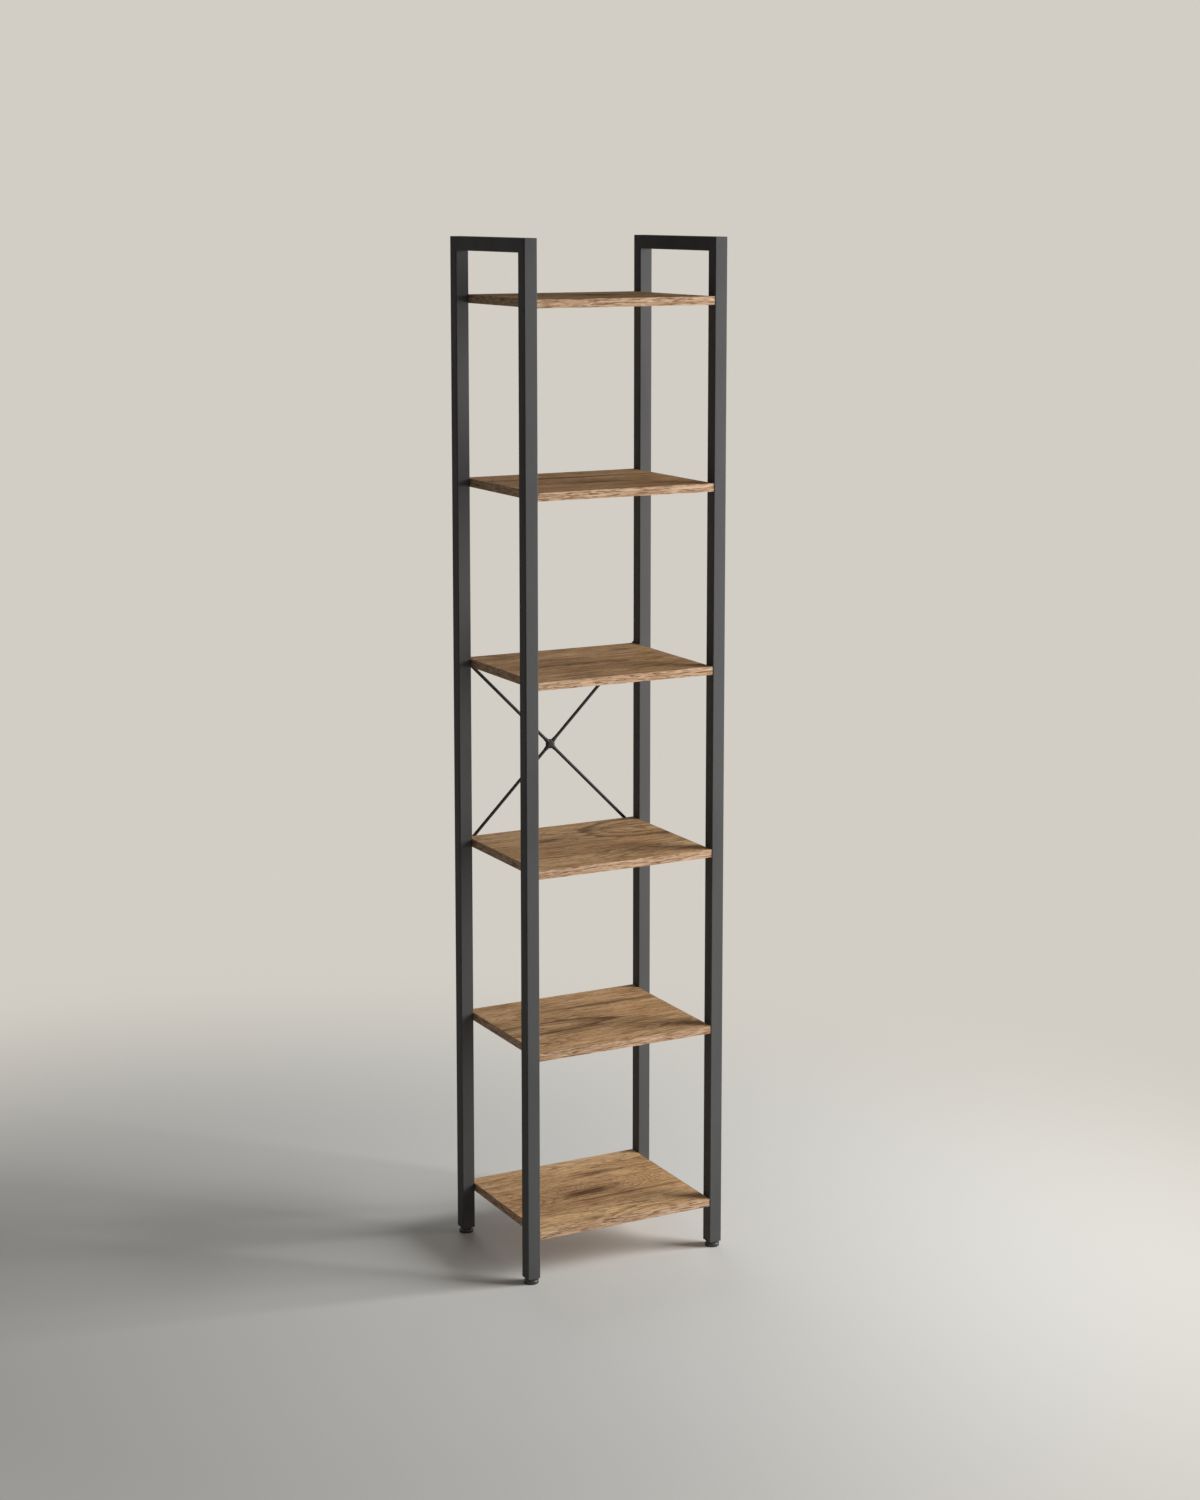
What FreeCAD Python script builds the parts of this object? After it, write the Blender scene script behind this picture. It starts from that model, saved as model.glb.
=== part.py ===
import FreeCAD, Part
import Sketcher
import math
import os
import re

# Industrial bookcase: two side frames of square tube, six wood shelves between them, a cross brace
# of round rods behind the middle bay, and four levelling feet.
# Millimetres, +Z up. The origin is on the floor, under the middle of the side frames. The front is
# at -Y and the left side at -X.

SIZES = {
    # side frames
    "overall_width": 400,
    "overall_depth": 300,
    "overall_height": 1860,
    "tube_side": 25,
    "tube_wall": 1.2,
    "tube_corner": 2,
    # shelves: the lowest top over the floor, the highest below the frames' tops, the brace's bay
    "lowest_shelf_top": 95.5,
    "top_shelf_drop": 104,
    "middle_pitch": 336.5,
    "shelf_thickness": 15,
    "shelf_recess": 1,
    "edging_thickness": 1,
    # cam dowels and cam locks that hold the shelf ends
    "dowel_thread": 6,
    "dowel_shank": 7,
    "dowel_neck": 4,
    "dowel_head": 6,
    "dowel_head_length": 3.5,
    "cam_diameter": 15,
    "cam_depth": 12,
    "cam_setback": 24,
    "cam_slot_length": 9,
    "cam_slot_width": 1.4,
    "cam_slot_depth": 2.5,
    # collars drawn inwards from the tube's wall and tapped
    "thread_collar_wall": 2,
    "thread_collar_length": 3,
    # cross brace
    "brace_over_shelf": 157.5,
    "brace_overlap": 38.5,
    "rod_diameter": 6,
    "rod_neck_width": 8.5,
    "rod_neck_length": 6,
    "eyelet_diameter": 14,
    "eyelet_thickness": 2.5,
    "hub_diameter": 18,
    "hub_thickness": 9,
    "hub_edge": 1,
    "hub_grip": 5,
    "brace_screw": 5,
    "brace_screw_head": 9.5,
    "brace_screw_head_height": 2.75,
    "brace_screw_edge": 1.2,
    "brace_key_flats": 3,
    "brace_key_depth": 1.5,
    # levelling feet
    "foot_height": 10,
    "pad_diameter": 27,
    "pad_height": 7,
    "pad_rim": 2,
    "pad_foot_edge": 0.8,
    "pad_floor": 2,
    "stud_diameter": 8,
    "stud_length": 32,
    "stud_flats": 13,
    "stud_neck": 6,
    "stud_flange": 10,
    "stud_flange_height": 2,
    "insert_length": 30,
    "insert_corner": 1.2,
    "nut_flats": 13,
    "nut_height": 6.5,
    # clearances for each side
    "slip_gap": 0.1,
    "press_gap": 0.05,
    "bore_gap": 0.2,
    "rod_gap": 0.2,
}

SIDES = {"left": -1, "right": 1}
ENDS = {"front": -1, "rear": 1}
SHELF_LEVELS = range(1, 7)
# the shelves under and over the middle pitch, which the brace spans; the other pitches are alike
LEVEL_UNDER_BRACE = 3
LEVEL_OVER_BRACE = 4
EVEN_PITCHES = len(SHELF_LEVELS) - 2

# places that several pieces share, measured from the origin
TUBE_X = "(overall_width - tube_side) / 2"
TUBE_Y = "(overall_depth - tube_side) / 2"
INNER_X = "(overall_width / 2 - tube_side)"
REAR_FACE = "overall_depth / 2"
SHELF_LENGTH = "(overall_width - 2 * tube_side)"
SHELF_DEPTH = "(overall_depth - 2 * shelf_recess)"
EVEN_PITCH = f"((overall_height - top_shelf_drop - lowest_shelf_top - middle_pitch) / {EVEN_PITCHES})"
ROD_PLANE = "(overall_depth / 2 + rod_gap + rod_diameter / 2)"
BRACE_RISE = "(middle_pitch + brace_overlap)"
ROD_REACH = f"sqrt(({TUBE_X}) * ({TUBE_X}) + {BRACE_RISE} * {BRACE_RISE} / 4)"
ROD_SLOPE = f"atan({BRACE_RISE} / 2 / ({TUBE_X}))"

# how each direction turns a solid that is made along +Z
TURNS = {
    "+x": "rotation(vector(0; 1; 0); 90)",
    "-x": "rotation(vector(0; 1; 0); -90)",
    "+y": "rotation(vector(1; 0; 0); -90)",
    "-y": "rotation(vector(1; 0; 0); 90)",
    "+z": "rotation(vector(0; 0; 1); 0)",
}

# a sketch's own origin and axes, as its constraints name them
ORIGIN_POINT = (-1, 1)
U_AXIS = -1
V_AXIS = -2
START = 1
END = 2
CENTRE = 3
UP = FreeCAD.Vector(0, 0, 1)

# the axes' places in a point
ALONG_Y = 1
ALONG_Z = 2

# how near two lengths have to be to count as the same, and the least volume that a feature changes
SAME_LENGTH = 0.001
LEAST_CHANGE = 0.01

doc = FreeCAD.newDocument("bookcase")
sheet = doc.addObject("Spreadsheet::Sheet", "sizes")
for row, (alias, value) in enumerate(SIZES.items(), start=1):
    sheet.set(f"A{row}", alias)
    sheet.set(f"B{row}", str(value))
    sheet.setAlias(f"B{row}", alias)
doc.recompute()

pieces = []


# Expressions and placing


def bound(text):
    """The expression with each size's name led back to the sheet."""
    return re.sub(r"\b[a-z_]+\b", lambda m: f"sizes.{m[0]}" if m[0] in SIZES else m[0], text)


def number(text):
    """The value of an expression now, for drawing a sketch at its size."""
    return float(sheet.evalExpression(bound(text)))


def place(at, turn):
    """The expression for a place: a point, and the way that +Z points there or a turn."""
    x, y, z = at
    return f"placement(vector({x}; {y}; {z}); {TURNS.get(turn, turn)})"


def put(obj, at, turn="+z"):
    """Binds an object's place and direction."""
    obj.setExpression("Placement", bound(place(at, turn)))


def made(kind, name, at, turn, **sizes):
    """A primitive whose sizes and place are bound to the sheet."""
    obj = doc.addObject(kind, name)
    for prop, text in sizes.items():
        obj.setExpression(prop, bound(text))
    put(obj, at, turn)
    return obj


def cylinder(name, diameter, height, at, turn="+z"):
    """A cylinder that starts at a point and runs along a direction."""
    return made("Part::Cylinder", name, at, turn, Radius=f"({diameter}) / 2", Height=height)


def hexagon(name, flats, height, at, turn="+z"):
    """A six-sided bar, sized across its flats."""
    bar = made("Part::Prism", name, at, turn, Circumradius=f"({flats}) / 2 / cos(30 deg)", Height=height)
    bar.Polygon = 6
    return bar


def box(name, size, low, turn="+z"):
    """A box with its lowest corner at a point."""
    length, width, height = size
    return made("Part::Box", name, low, turn, Length=length, Width=width, Height=height)


def fused(name, shapes):
    """Several solids as one, or as a set of tools for one cut."""
    fuse = doc.addObject("Part::MultiFuse", name)
    fuse.Shapes = shapes
    return fuse


def cut(name, base, tools):
    """A solid with other solids taken out of it."""
    result = doc.addObject("Part::Cut", name)
    result.Base = base
    result.Tool = fused(f"{name}_tools", tools) if len(tools) > 1 else tools[0]
    return result


def keep(obj, label):
    """Names a finished sub-part, whose file takes the same name."""
    obj.Label = label
    pieces.append(obj)


def keep_group(label, members):
    """Keeps several like pieces, each a solid of its own, under one name."""
    group = doc.addObject("Part::Compound", f"{label}_group")
    group.Links = members
    keep(group, label)


# Sketches and the features on them


def sketch_on(body, role, name, offset="0"):
    """A sketch on one of the body's own planes, moved along that plane's normal."""
    plane = next(feature for feature in body.Origin.OriginFeatures if feature.Role == role)
    sketch = body.newObject("Sketcher::SketchObject", name)
    sketch.AttachmentSupport = (plane, [""])
    sketch.MapMode = "FlatFace"
    sketch.setExpression("AttachmentOffset.Base.z", bound(offset))
    return sketch


def hold(sketch, kind, *place, size):
    """A dimension in a sketch, bound to the sheet."""
    index = sketch.addConstraint(Sketcher.Constraint(kind, *place, number(size)))
    sketch.setExpression(f"Constraints[{index}]", bound(size))


def hold_point(sketch, curve, point, u, v):
    """Fixes a point of a sketch by its distances from the sketch's origin."""
    for kind, axis, text in (("DistanceX", V_AXIS, u), ("DistanceY", U_AXIS, v)):
        if number(text):
            hold(sketch, kind, *ORIGIN_POINT, curve, point, size=text)
        else:
            sketch.addConstraint(Sketcher.Constraint("PointOnObject", curve, point, axis))


def draw_rounded_square(sketch, side, corner):
    """A square round the sketch's origin, with its four corners rounded."""
    half = number(f"({side}) / 2")
    radius = number(corner)
    inset = half - radius
    curves = []
    for quarter in range(4):
        turn = FreeCAD.Rotation(UP, 90 * quarter)
        start = turn.multVec(FreeCAD.Vector(-inset, -half, 0))
        end = turn.multVec(FreeCAD.Vector(inset, -half, 0))
        round_corner = Part.Circle(turn.multVec(FreeCAD.Vector(inset, -inset, 0)), UP, radius)
        angles = math.radians(90 * quarter - 90), math.radians(90 * quarter)
        curves.append(sketch.addGeometry(Part.LineSegment(start, end), False))
        curves.append(sketch.addGeometry(Part.ArcOfCircle(round_corner, *angles), False))
    for index, curve in enumerate(curves):
        following = curves[(index + 1) % len(curves)]
        sketch.addConstraint(Sketcher.Constraint("Tangent", curve, END, following, START))
    bottom, first, right, second, top, third, left, fourth = curves
    for line in (bottom, top):
        sketch.addConstraint(Sketcher.Constraint("Horizontal", line))
    for line in (right, left):
        sketch.addConstraint(Sketcher.Constraint("Vertical", line))
    for arc in (second, third, fourth):
        sketch.addConstraint(Sketcher.Constraint("Equal", first, arc))
    hold(sketch, "Radius", first, size=corner)
    hold(sketch, "DistanceX", left, START, right, START, size=side)
    hold(sketch, "DistanceY", bottom, START, top, START, size=side)
    sketch.addConstraint(Sketcher.Constraint("Symmetric", first, CENTRE, third, CENTRE, *ORIGIN_POINT))


def draw_circles(sketch, diameter, centres):
    """Like circles at several points of a sketch."""
    first = None
    for u, v in centres:
        centre = FreeCAD.Vector(number(u), number(v), 0)
        circle = Part.Circle(centre, UP, number(f"({diameter}) / 2"))
        curve = sketch.addGeometry(circle, False)
        hold_point(sketch, curve, CENTRE, u, v)
        if first is None:
            first = curve
            hold(sketch, "Diameter", first, size=diameter)
        else:
            sketch.addConstraint(Sketcher.Constraint("Equal", first, curve))


def draw_polygon(sketch, corners):
    """A closed outline of straight lines, with each corner held by its two distances."""
    points = [FreeCAD.Vector(number(u), number(v), 0) for u, v in corners]
    lines = []
    for start, end in zip(points, points[1:] + points[:1]):
        lines.append(sketch.addGeometry(Part.LineSegment(start, end), False))
    for line, following, (u, v) in zip(lines, lines[1:] + lines[:1], corners):
        sketch.addConstraint(Sketcher.Constraint("Coincident", line, END, following, START))
        hold_point(sketch, line, START, u, v)


def padded(body, sketch, length, reverse=False, symmetric=False):
    """A pad of a sketch, along its normal or both ways from it."""
    pad = body.newObject("PartDesign::Pad", f"{sketch.Name}_pad")
    pad.Profile = sketch
    pad.setExpression("Length", bound(length))
    pad.Reversed = reverse
    pad.SideType = "Symmetric" if symmetric else "One side"
    return pad


def pocketed(body, sketch, depth=None, reverse=False):
    """A pocket of a sketch, to a depth against its normal, or right through both ways."""
    pocket = body.newObject("PartDesign::Pocket", f"{sketch.Name}_pocket")
    pocket.Profile = sketch
    if depth is None:
        pocket.Type = "ThroughAll"
        pocket.SideType = "Symmetric"
    else:
        pocket.setExpression("Length", bound(depth))
        pocket.Reversed = reverse
    return pocket


def round_rim(body, name, along, height, radius):
    """Rounds the circular edge of a disc that lies at a height along one of its axes."""
    doc.recompute()
    disc = body.Tip
    rims = []
    for index, edge in enumerate(disc.Shape.Edges, start=1):
        ends = [vertex.Point[along] for vertex in edge.Vertexes]
        if edge.isClosed() and all(abs(end - number(height)) < SAME_LENGTH for end in ends):
            rims.append(f"Edge{index}")
    fillet = body.newObject("PartDesign::Fillet", name)
    fillet.Base = (disc, rims)
    fillet.setExpression("Radius", bound(radius))


# Side frames


def shelf_top(level):
    """The height of a shelf's top over the floor; level 1 is the lowest shelf."""
    middle = int(level >= LEVEL_OVER_BRACE)
    even = level - 1 - middle
    return f"(lowest_shelf_top + {even} * {EVEN_PITCH} + {middle} * middle_pitch)"


def shelf_middle(level):
    """The height of the middle of a shelf's thickness, where its dowels lie."""
    return f"({shelf_top(level)} - shelf_thickness / 2)"


def shelf_underside(level):
    """The height of a shelf's underside, which its cams are level with."""
    return f"({shelf_top(level)} - shelf_thickness)"


def brace_centre():
    """The point where the four rods meet, behind the bay that they brace."""
    return "0", ROD_PLANE, f"({shelf_top(LEVEL_UNDER_BRACE)} + brace_over_shelf)"


def brace_screw_height(z_way):
    """The height of the upper or the lower screws of the brace."""
    return f"({brace_centre()[ALONG_Z]} + {z_way} * {BRACE_RISE} / 2)"


def tube(name, role, length, symmetric):
    """A straight square tube along the normal of one of its body's planes."""
    body = doc.addObject("PartDesign::Body", name)
    section = sketch_on(body, role, f"{name}_section")
    draw_rounded_square(section, "tube_side", "tube_corner")
    draw_rounded_square(section, "tube_side - 2 * tube_wall", "tube_corner - tube_wall")
    padded(body, section, length, symmetric=symmetric)
    return body


def tap_wall(body, role, outward, thread, heights, name):
    """Tapped holes in one wall of an upright, each with a collar drawn into the tube.

    outward is 1 where the wall lies on the side that the plane's normal points to, and -1 where not.
    """
    spots = [("0", height) for height in heights]
    collars = sketch_on(body, role, f"{name}_collars", f"{outward} * (tube_side / 2 - tube_wall)")
    draw_circles(collars, f"{thread} + 2 * slip_gap + 2 * thread_collar_wall", spots)
    padded(body, collars, "thread_collar_length", reverse=outward == 1)
    holes = sketch_on(body, role, f"{name}_holes", f"{outward} * tube_side / 2")
    draw_circles(holes, f"{thread} + 2 * slip_gap", spots)
    pocketed(body, holes, "tube_wall + thread_collar_length", reverse=outward == -1)


def add_upright(side, end):
    """One upright, mitred at its top, with tapped holes for the shelves and, at the rear, the brace."""
    name = f"{side}_{end}_upright"
    length = "(overall_height - foot_height)"
    body = tube(name, "XY_Plane", length, symmetric=False)
    outer = f"{ENDS[end]} * tube_side / 2"
    inner = f"{-ENDS[end]} * tube_side / 2"
    mitre = sketch_on(body, "YZ_Plane", f"{name}_mitre")
    draw_polygon(mitre, [(outer, length), (inner, length), (inner, f"{length} - tube_side")])
    pocketed(body, mitre)
    shelf_heights = [f"{shelf_middle(level)} - foot_height" for level in SHELF_LEVELS]
    tap_wall(body, "YZ_Plane", -SIDES[side], "dowel_thread", shelf_heights, f"{name}_shelf")
    if end == "rear":
        brace_heights = [f"{brace_screw_height(way)} - foot_height" for way in (-1, 1)]
        tap_wall(body, "XZ_Plane", -1, "brace_screw", brace_heights, f"{name}_brace")
    put(body, (f"{SIDES[side]} * {TUBE_X}", f"{ENDS[end]} * {TUBE_Y}", "foot_height"))
    keep(body, name)


def add_top_bar(side):
    """The bar that joins two uprights at the top, mitred at both ends."""
    name = f"{side}_top_bar"
    body = tube(name, "XZ_Plane", "overall_depth", symmetric=True)
    for end, way in ENDS.items():
        tip = f"{way} * overall_depth / 2"
        root = f"{way} * (overall_depth / 2 - tube_side)"
        mitre = sketch_on(body, "YZ_Plane", f"{name}_{end}_mitre")
        draw_polygon(mitre, [(tip, "tube_side / 2"), (tip, "-tube_side / 2"), (root, "-tube_side / 2")])
        pocketed(body, mitre)
    put(body, (f"{SIDES[side]} * {TUBE_X}", "0", "overall_height - tube_side / 2"))
    keep(body, name)


# Shelves and what holds them


def shelf_corners():
    """Each corner's name, with the signs of its X and Y."""
    for side, x_way in SIDES.items():
        for end, y_way in ENDS.items():
            yield f"{side}_{end}", x_way, y_way


def inwards(x_way):
    """The direction from a shelf's end to its middle."""
    return "-x" if x_way > 0 else "+x"


def dowel_bores(name, level):
    """The bores for the four dowels, from each end of a shelf as far as its cam."""
    return [
        cylinder(
            f"{name}_{corner}_bore",
            "dowel_shank + 2 * bore_gap",
            "cam_setback",
            (f"{x_way} * {INNER_X}", f"{y_way} * {TUBE_Y}", shelf_middle(level)),
            inwards(x_way),
        )
        for corner, x_way, y_way in shelf_corners()
    ]


def cam_place(x_way, y_way, level):
    """The middle of a cam's lower face, level with the shelf's underside."""
    x = f"{x_way} * ({INNER_X} - cam_setback)"
    return x, f"{y_way} * {TUBE_Y}", shelf_underside(level)


def add_board(level):
    """A shelf's core board, bored from its ends for dowels and from below for cams."""
    name = f"shelf_{level}_board"
    length = f"({SHELF_LENGTH} - 2 * edging_thickness)"
    depth = f"({SHELF_DEPTH} - 2 * edging_thickness)"
    low = (f"-{length} / 2", f"-{depth} / 2", shelf_underside(level))
    bores = dowel_bores(name, level)
    for corner, x_way, y_way in shelf_corners():
        place = cam_place(x_way, y_way, level)
        bores.append(cylinder(f"{name}_{corner}_cam_bore", "cam_diameter", "cam_depth", place))
    blank = box(f"{name}_blank", (length, depth, "shelf_thickness"), low)
    keep(cut(f"{name}_bored", blank, bores), name)


def add_edging(level):
    """The bands on a shelf's four edges; the end bands let the dowels through."""
    name = f"shelf_{level}_edging"
    floor = shelf_underside(level)
    strips = []
    for end, way in ENDS.items():
        size = (SHELF_LENGTH, "edging_thickness", "shelf_thickness")
        middle = f"{way} * ({SHELF_DEPTH} / 2 - edging_thickness / 2)"
        low = (f"-{SHELF_LENGTH} / 2", f"{middle} - edging_thickness / 2", floor)
        strips.append(box(f"{name}_{end}", size, low))
    for side, way in SIDES.items():
        size = ("edging_thickness", f"{SHELF_DEPTH} - 2 * edging_thickness", "shelf_thickness")
        middle = f"{way} * ({SHELF_LENGTH} / 2 - edging_thickness / 2)"
        low = (f"{middle} - edging_thickness / 2", f"-({size[1]}) / 2", floor)
        blank = box(f"{name}_{side}_blank", size, low)
        strips.append(cut(f"{name}_{side}", blank, dowel_bores(f"{name}_{side}", level)))
    keep_group(name, strips)


def add_dowels(level):
    """Four cam dowels: a thread in the upright, a shank in the shelf, a neck and a head in the cam."""
    name = f"shelf_{level}_cam_dowels"
    shank_length = "(cam_setback - cam_diameter / 2 - bore_gap)"
    neck_end = "(cam_setback - dowel_head_length / 2)"
    dowels = []
    for corner, x_way, y_way in shelf_corners():
        turn = inwards(x_way)
        stretches = [
            ("thread", "dowel_thread", "-(tube_wall + thread_collar_length)", "0"),
            ("shank", "dowel_shank", "0", shank_length),
            ("neck", "dowel_neck", shank_length, neck_end),
            ("head", "dowel_head", neck_end, f"{neck_end} + dowel_head_length"),
        ]
        turned = []
        for part, diameter, start, stop in stretches:
            x = f"{x_way} * ({INNER_X} - ({start}))"
            at = (x, f"{y_way} * {TUBE_Y}", shelf_middle(level))
            length = f"({stop}) - ({start})"
            turned.append(cylinder(f"{name}_{corner}_{part}", diameter, length, at, turn))
        dowels.append(fused(f"{name}_{corner}", turned))
    keep_group(name, dowels)


def add_cams(level):
    """Four cam locks: a drum with a channel for the dowel's head and a cross slot for the driver."""
    name = f"shelf_{level}_cam_locks"
    cams = []
    for corner, x_way, y_way in shelf_corners():
        x, y, floor = cam_place(x_way, y_way, level)
        drum_diameter = "cam_diameter - 2 * slip_gap"
        drum = cylinder(f"{name}_{corner}_drum", drum_diameter, "cam_depth - slip_gap", (x, y, floor))
        end = f"{x_way} * ({INNER_X} - cam_setback + cam_diameter)"
        tools = [
            cylinder(
                f"{name}_{corner}_channel",
                "dowel_head + 2 * bore_gap",
                "cam_diameter + dowel_head_length",
                (end, y, shelf_middle(level)),
                inwards(x_way),
            )
        ]
        for part, length, width in (
            ("slot", "cam_slot_length", "cam_slot_width"),
            ("cross", "cam_slot_width", "cam_slot_length"),
        ):
            low = (f"{x} - {length} / 2", f"{y} - {width} / 2", floor)
            tools.append(box(f"{name}_{corner}_{part}", (length, width, "cam_slot_depth"), low))
        cams.append(cut(f"{name}_{corner}", drum, tools))
    keep_group(name, cams)


# Cross brace


def rod_turn(x_way, z_way):
    """The turn that leads a rod made along +X from the hub to one of the four screws."""
    slope = ROD_SLOPE if x_way > 0 else f"180 deg - {ROD_SLOPE}"
    return f"rotation(vector(0; 1; 0); {-z_way} * ({slope}))"


def rod_ends():
    """Each rod's name, with the signs of its X and Z."""
    for height, z_way in (("upper", 1), ("lower", -1)):
        for side, x_way in SIDES.items():
            yield f"{height}_{side}", x_way, z_way


def add_rod(rod, x_way, z_way):
    """A brace rod: a round bar from the hub, pressed flat at its outer end into an eyelet."""
    name = f"{rod}_brace_rod"
    start = "(hub_diameter / 2 - hub_grip + slip_gap)"
    neck_start = f"({ROD_REACH} - eyelet_diameter / 2 - rod_neck_length)"
    flat_front = "-(rod_diameter / 2 + rod_gap)"
    bar_length = f"{neck_start} + rod_neck_length / 2 - {start}"
    bar = cylinder(f"{name}_bar", "rod_diameter", bar_length, (start, "0", "0"), "+x")
    neck_size = (f"{ROD_REACH} - {neck_start}", "eyelet_thickness", "rod_neck_width")
    neck = box(f"{name}_neck", neck_size, (neck_start, flat_front, "-rod_neck_width / 2"))
    eye = (ROD_REACH, flat_front, "0")
    eyelet = cylinder(f"{name}_eyelet", "eyelet_diameter", "eyelet_thickness", eye, "+y")
    hole = cylinder(f"{name}_hole", "brace_screw + 2 * bore_gap", "eyelet_thickness", eye, "+y")
    forged = cut(f"{name}_forged", fused(f"{name}_blank", [bar, neck, eyelet]), [hole])
    put(forged, brace_centre(), rod_turn(x_way, z_way))
    keep(forged, name)


def add_hub():
    """The round hub with four bores, one for each rod."""
    name = "brace_hub"
    body = doc.addObject("PartDesign::Body", f"{name}_disc")
    section = sketch_on(body, "XZ_Plane", f"{name}_section")
    draw_circles(section, "hub_diameter", [("0", "0")])
    padded(body, section, "hub_thickness", symmetric=True)
    round_rim(body, f"{name}_front_rim", ALONG_Y, "-hub_thickness / 2", "hub_edge")
    round_rim(body, f"{name}_rear_rim", ALONG_Y, "hub_thickness / 2", "hub_edge")
    put(body, brace_centre())
    start = ("hub_diameter / 2 - hub_grip", "0", "0")
    bores = []
    for rod, x_way, z_way in rod_ends():
        bore = cylinder(f"{name}_{rod}_bore", "rod_diameter + 2 * slip_gap", "hub_diameter", start)
        carrier = place(brace_centre(), rod_turn(x_way, z_way))
        bore.setExpression("Placement", bound(f"{carrier} * {place(start, '+x')}"))
        bores.append(bore)
    keep(cut(f"{name}_bored", body, bores), name)


def add_brace_screws():
    """Four button-head screws that hold the eyelets to the rear uprights."""
    name = "brace_screws"
    seat = f"{REAR_FACE} + eyelet_thickness"
    grip = "(eyelet_thickness + tube_wall + thread_collar_length)"
    screws = []
    for rod, x_way, z_way in rod_ends():
        body = doc.addObject("PartDesign::Body", f"{name}_{rod}_head")
        section = sketch_on(body, "XY_Plane", f"{name}_{rod}_section")
        draw_circles(section, "brace_screw_head", [("0", "0")])
        padded(body, section, "brace_screw_head_height")
        round_rim(body, f"{name}_{rod}_rim", ALONG_Z, "brace_screw_head_height", "brace_screw_edge")
        x = f"{x_way} * {TUBE_X}"
        z = brace_screw_height(z_way)
        put(body, (x, seat, z), "+y")
        shank = cylinder(f"{name}_{rod}_shank", "brace_screw", grip, (x, seat, z), "-y")
        key_floor = (x, f"{seat} + brace_screw_head_height - brace_key_depth", z)
        key = hexagon(f"{name}_{rod}_key", "brace_key_flats", "brace_key_depth", key_floor, "+y")
        screws.append(cut(f"{name}_{rod}", fused(f"{name}_{rod}_blank", [body, shank]), [key]))
    keep_group(name, screws)


# Levelling feet


def foot_places():
    """Each foot's name, with the place on the floor under its upright's axis."""
    for end, y_way in ENDS.items():
        for side, x_way in SIDES.items():
            yield f"{end}_{side}", f"{x_way} * {TUBE_X}", f"{y_way} * {TUBE_Y}"


def add_insert(foot, x, y):
    """The plug in a tube's lower end, with a bore for the stud and a seat for its nut."""
    name = f"{foot}_foot_insert"
    body = doc.addObject("PartDesign::Body", f"{name}_plug")
    section = sketch_on(body, "XY_Plane", f"{name}_section")
    draw_rounded_square(section, "tube_side - 2 * tube_wall - 2 * press_gap", "insert_corner")
    padded(body, section, "insert_length")
    put(body, (x, y, "foot_height"))
    tools = [
        cylinder(f"{name}_bore", "stud_diameter + 2 * bore_gap", "insert_length", (x, y, "foot_height")),
        hexagon(f"{name}_seat", "nut_flats + 2 * press_gap", "nut_height", (x, y, "foot_height")),
    ]
    keep(cut(f"{name}_bored", body, tools), name)


def add_foot_nuts():
    """The four nuts in the plugs, level with the ends of the tubes."""
    name = "foot_nuts"
    nuts = []
    for foot, x, y in foot_places():
        at = (x, y, "foot_height")
        blank = hexagon(f"{name}_{foot}_blank", "nut_flats", "nut_height", at)
        bore = cylinder(f"{name}_{foot}_bore", "stud_diameter + 2 * slip_gap", "nut_height", at)
        nuts.append(cut(f"{name}_{foot}", blank, [bore]))
    keep_group(name, nuts)


def add_stud(foot, x, y):
    """A foot's stud: a thread, a hexagon collar on the pad, and a neck and flange in the pad's socket."""
    name = f"{foot}_foot_stud"
    flange_floor = "(pad_floor + slip_gap)"
    neck_floor = f"({flange_floor} + stud_flange_height)"
    turned = [
        cylinder(f"{name}_thread", "stud_diameter", "stud_length", (x, y, "foot_height")),
        hexagon(f"{name}_collar", "stud_flats", "foot_height - pad_height", (x, y, "pad_height")),
        cylinder(f"{name}_neck", "stud_neck", f"pad_height - {neck_floor}", (x, y, neck_floor)),
        cylinder(f"{name}_flange", "stud_flange", "stud_flange_height", (x, y, flange_floor)),
    ]
    keep(fused(f"{name}_turned", turned), name)


def add_pad(foot, x, y):
    """A foot's round pad, with a socket that holds the stud's flange."""
    name = f"{foot}_foot_pad"
    body = doc.addObject("PartDesign::Body", f"{name}_disc")
    section = sketch_on(body, "XY_Plane", f"{name}_section")
    draw_circles(section, "pad_diameter", [("0", "0")])
    padded(body, section, "pad_height")
    round_rim(body, f"{name}_top_rim", ALONG_Z, "pad_height", "pad_rim")
    round_rim(body, f"{name}_foot_rim", ALONG_Z, "0", "pad_foot_edge")
    put(body, (x, y, "0"))
    floor = (x, y, "pad_floor")
    socket_height = "stud_flange_height + 2 * slip_gap"
    tools = [
        cylinder(f"{name}_mouth", "stud_neck + 2 * slip_gap", "pad_height - pad_floor", floor),
        cylinder(f"{name}_socket", "stud_flange + 2 * slip_gap", socket_height, floor),
    ]
    keep(cut(f"{name}_socketed", body, tools), name)


# Checks and export


def check_document():
    """Stops if a feature failed, if a pad or pocket did nothing, or if a sub-part's shape isn't sound."""
    for obj in doc.Objects:
        if "Invalid" in obj.State or "Error" in obj.State:
            raise RuntimeError(f"{obj.Name} failed: {obj.State}")
        base = getattr(obj, "BaseFeature", None)
        if base is not None and obj.TypeId in ("PartDesign::Pad", "PartDesign::Pocket"):
            change = obj.Shape.Volume - base.Shape.Volume
            if (change > 0) != (obj.TypeId == "PartDesign::Pad") or abs(change) < LEAST_CHANGE:
                raise RuntimeError(f"{obj.Name} changed the volume by {change:.3f}")
    for obj in pieces:
        if obj.Shape.isNull() or not obj.Shape.isValid():
            raise RuntimeError(f"{obj.Label} has no sound shape")


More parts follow.
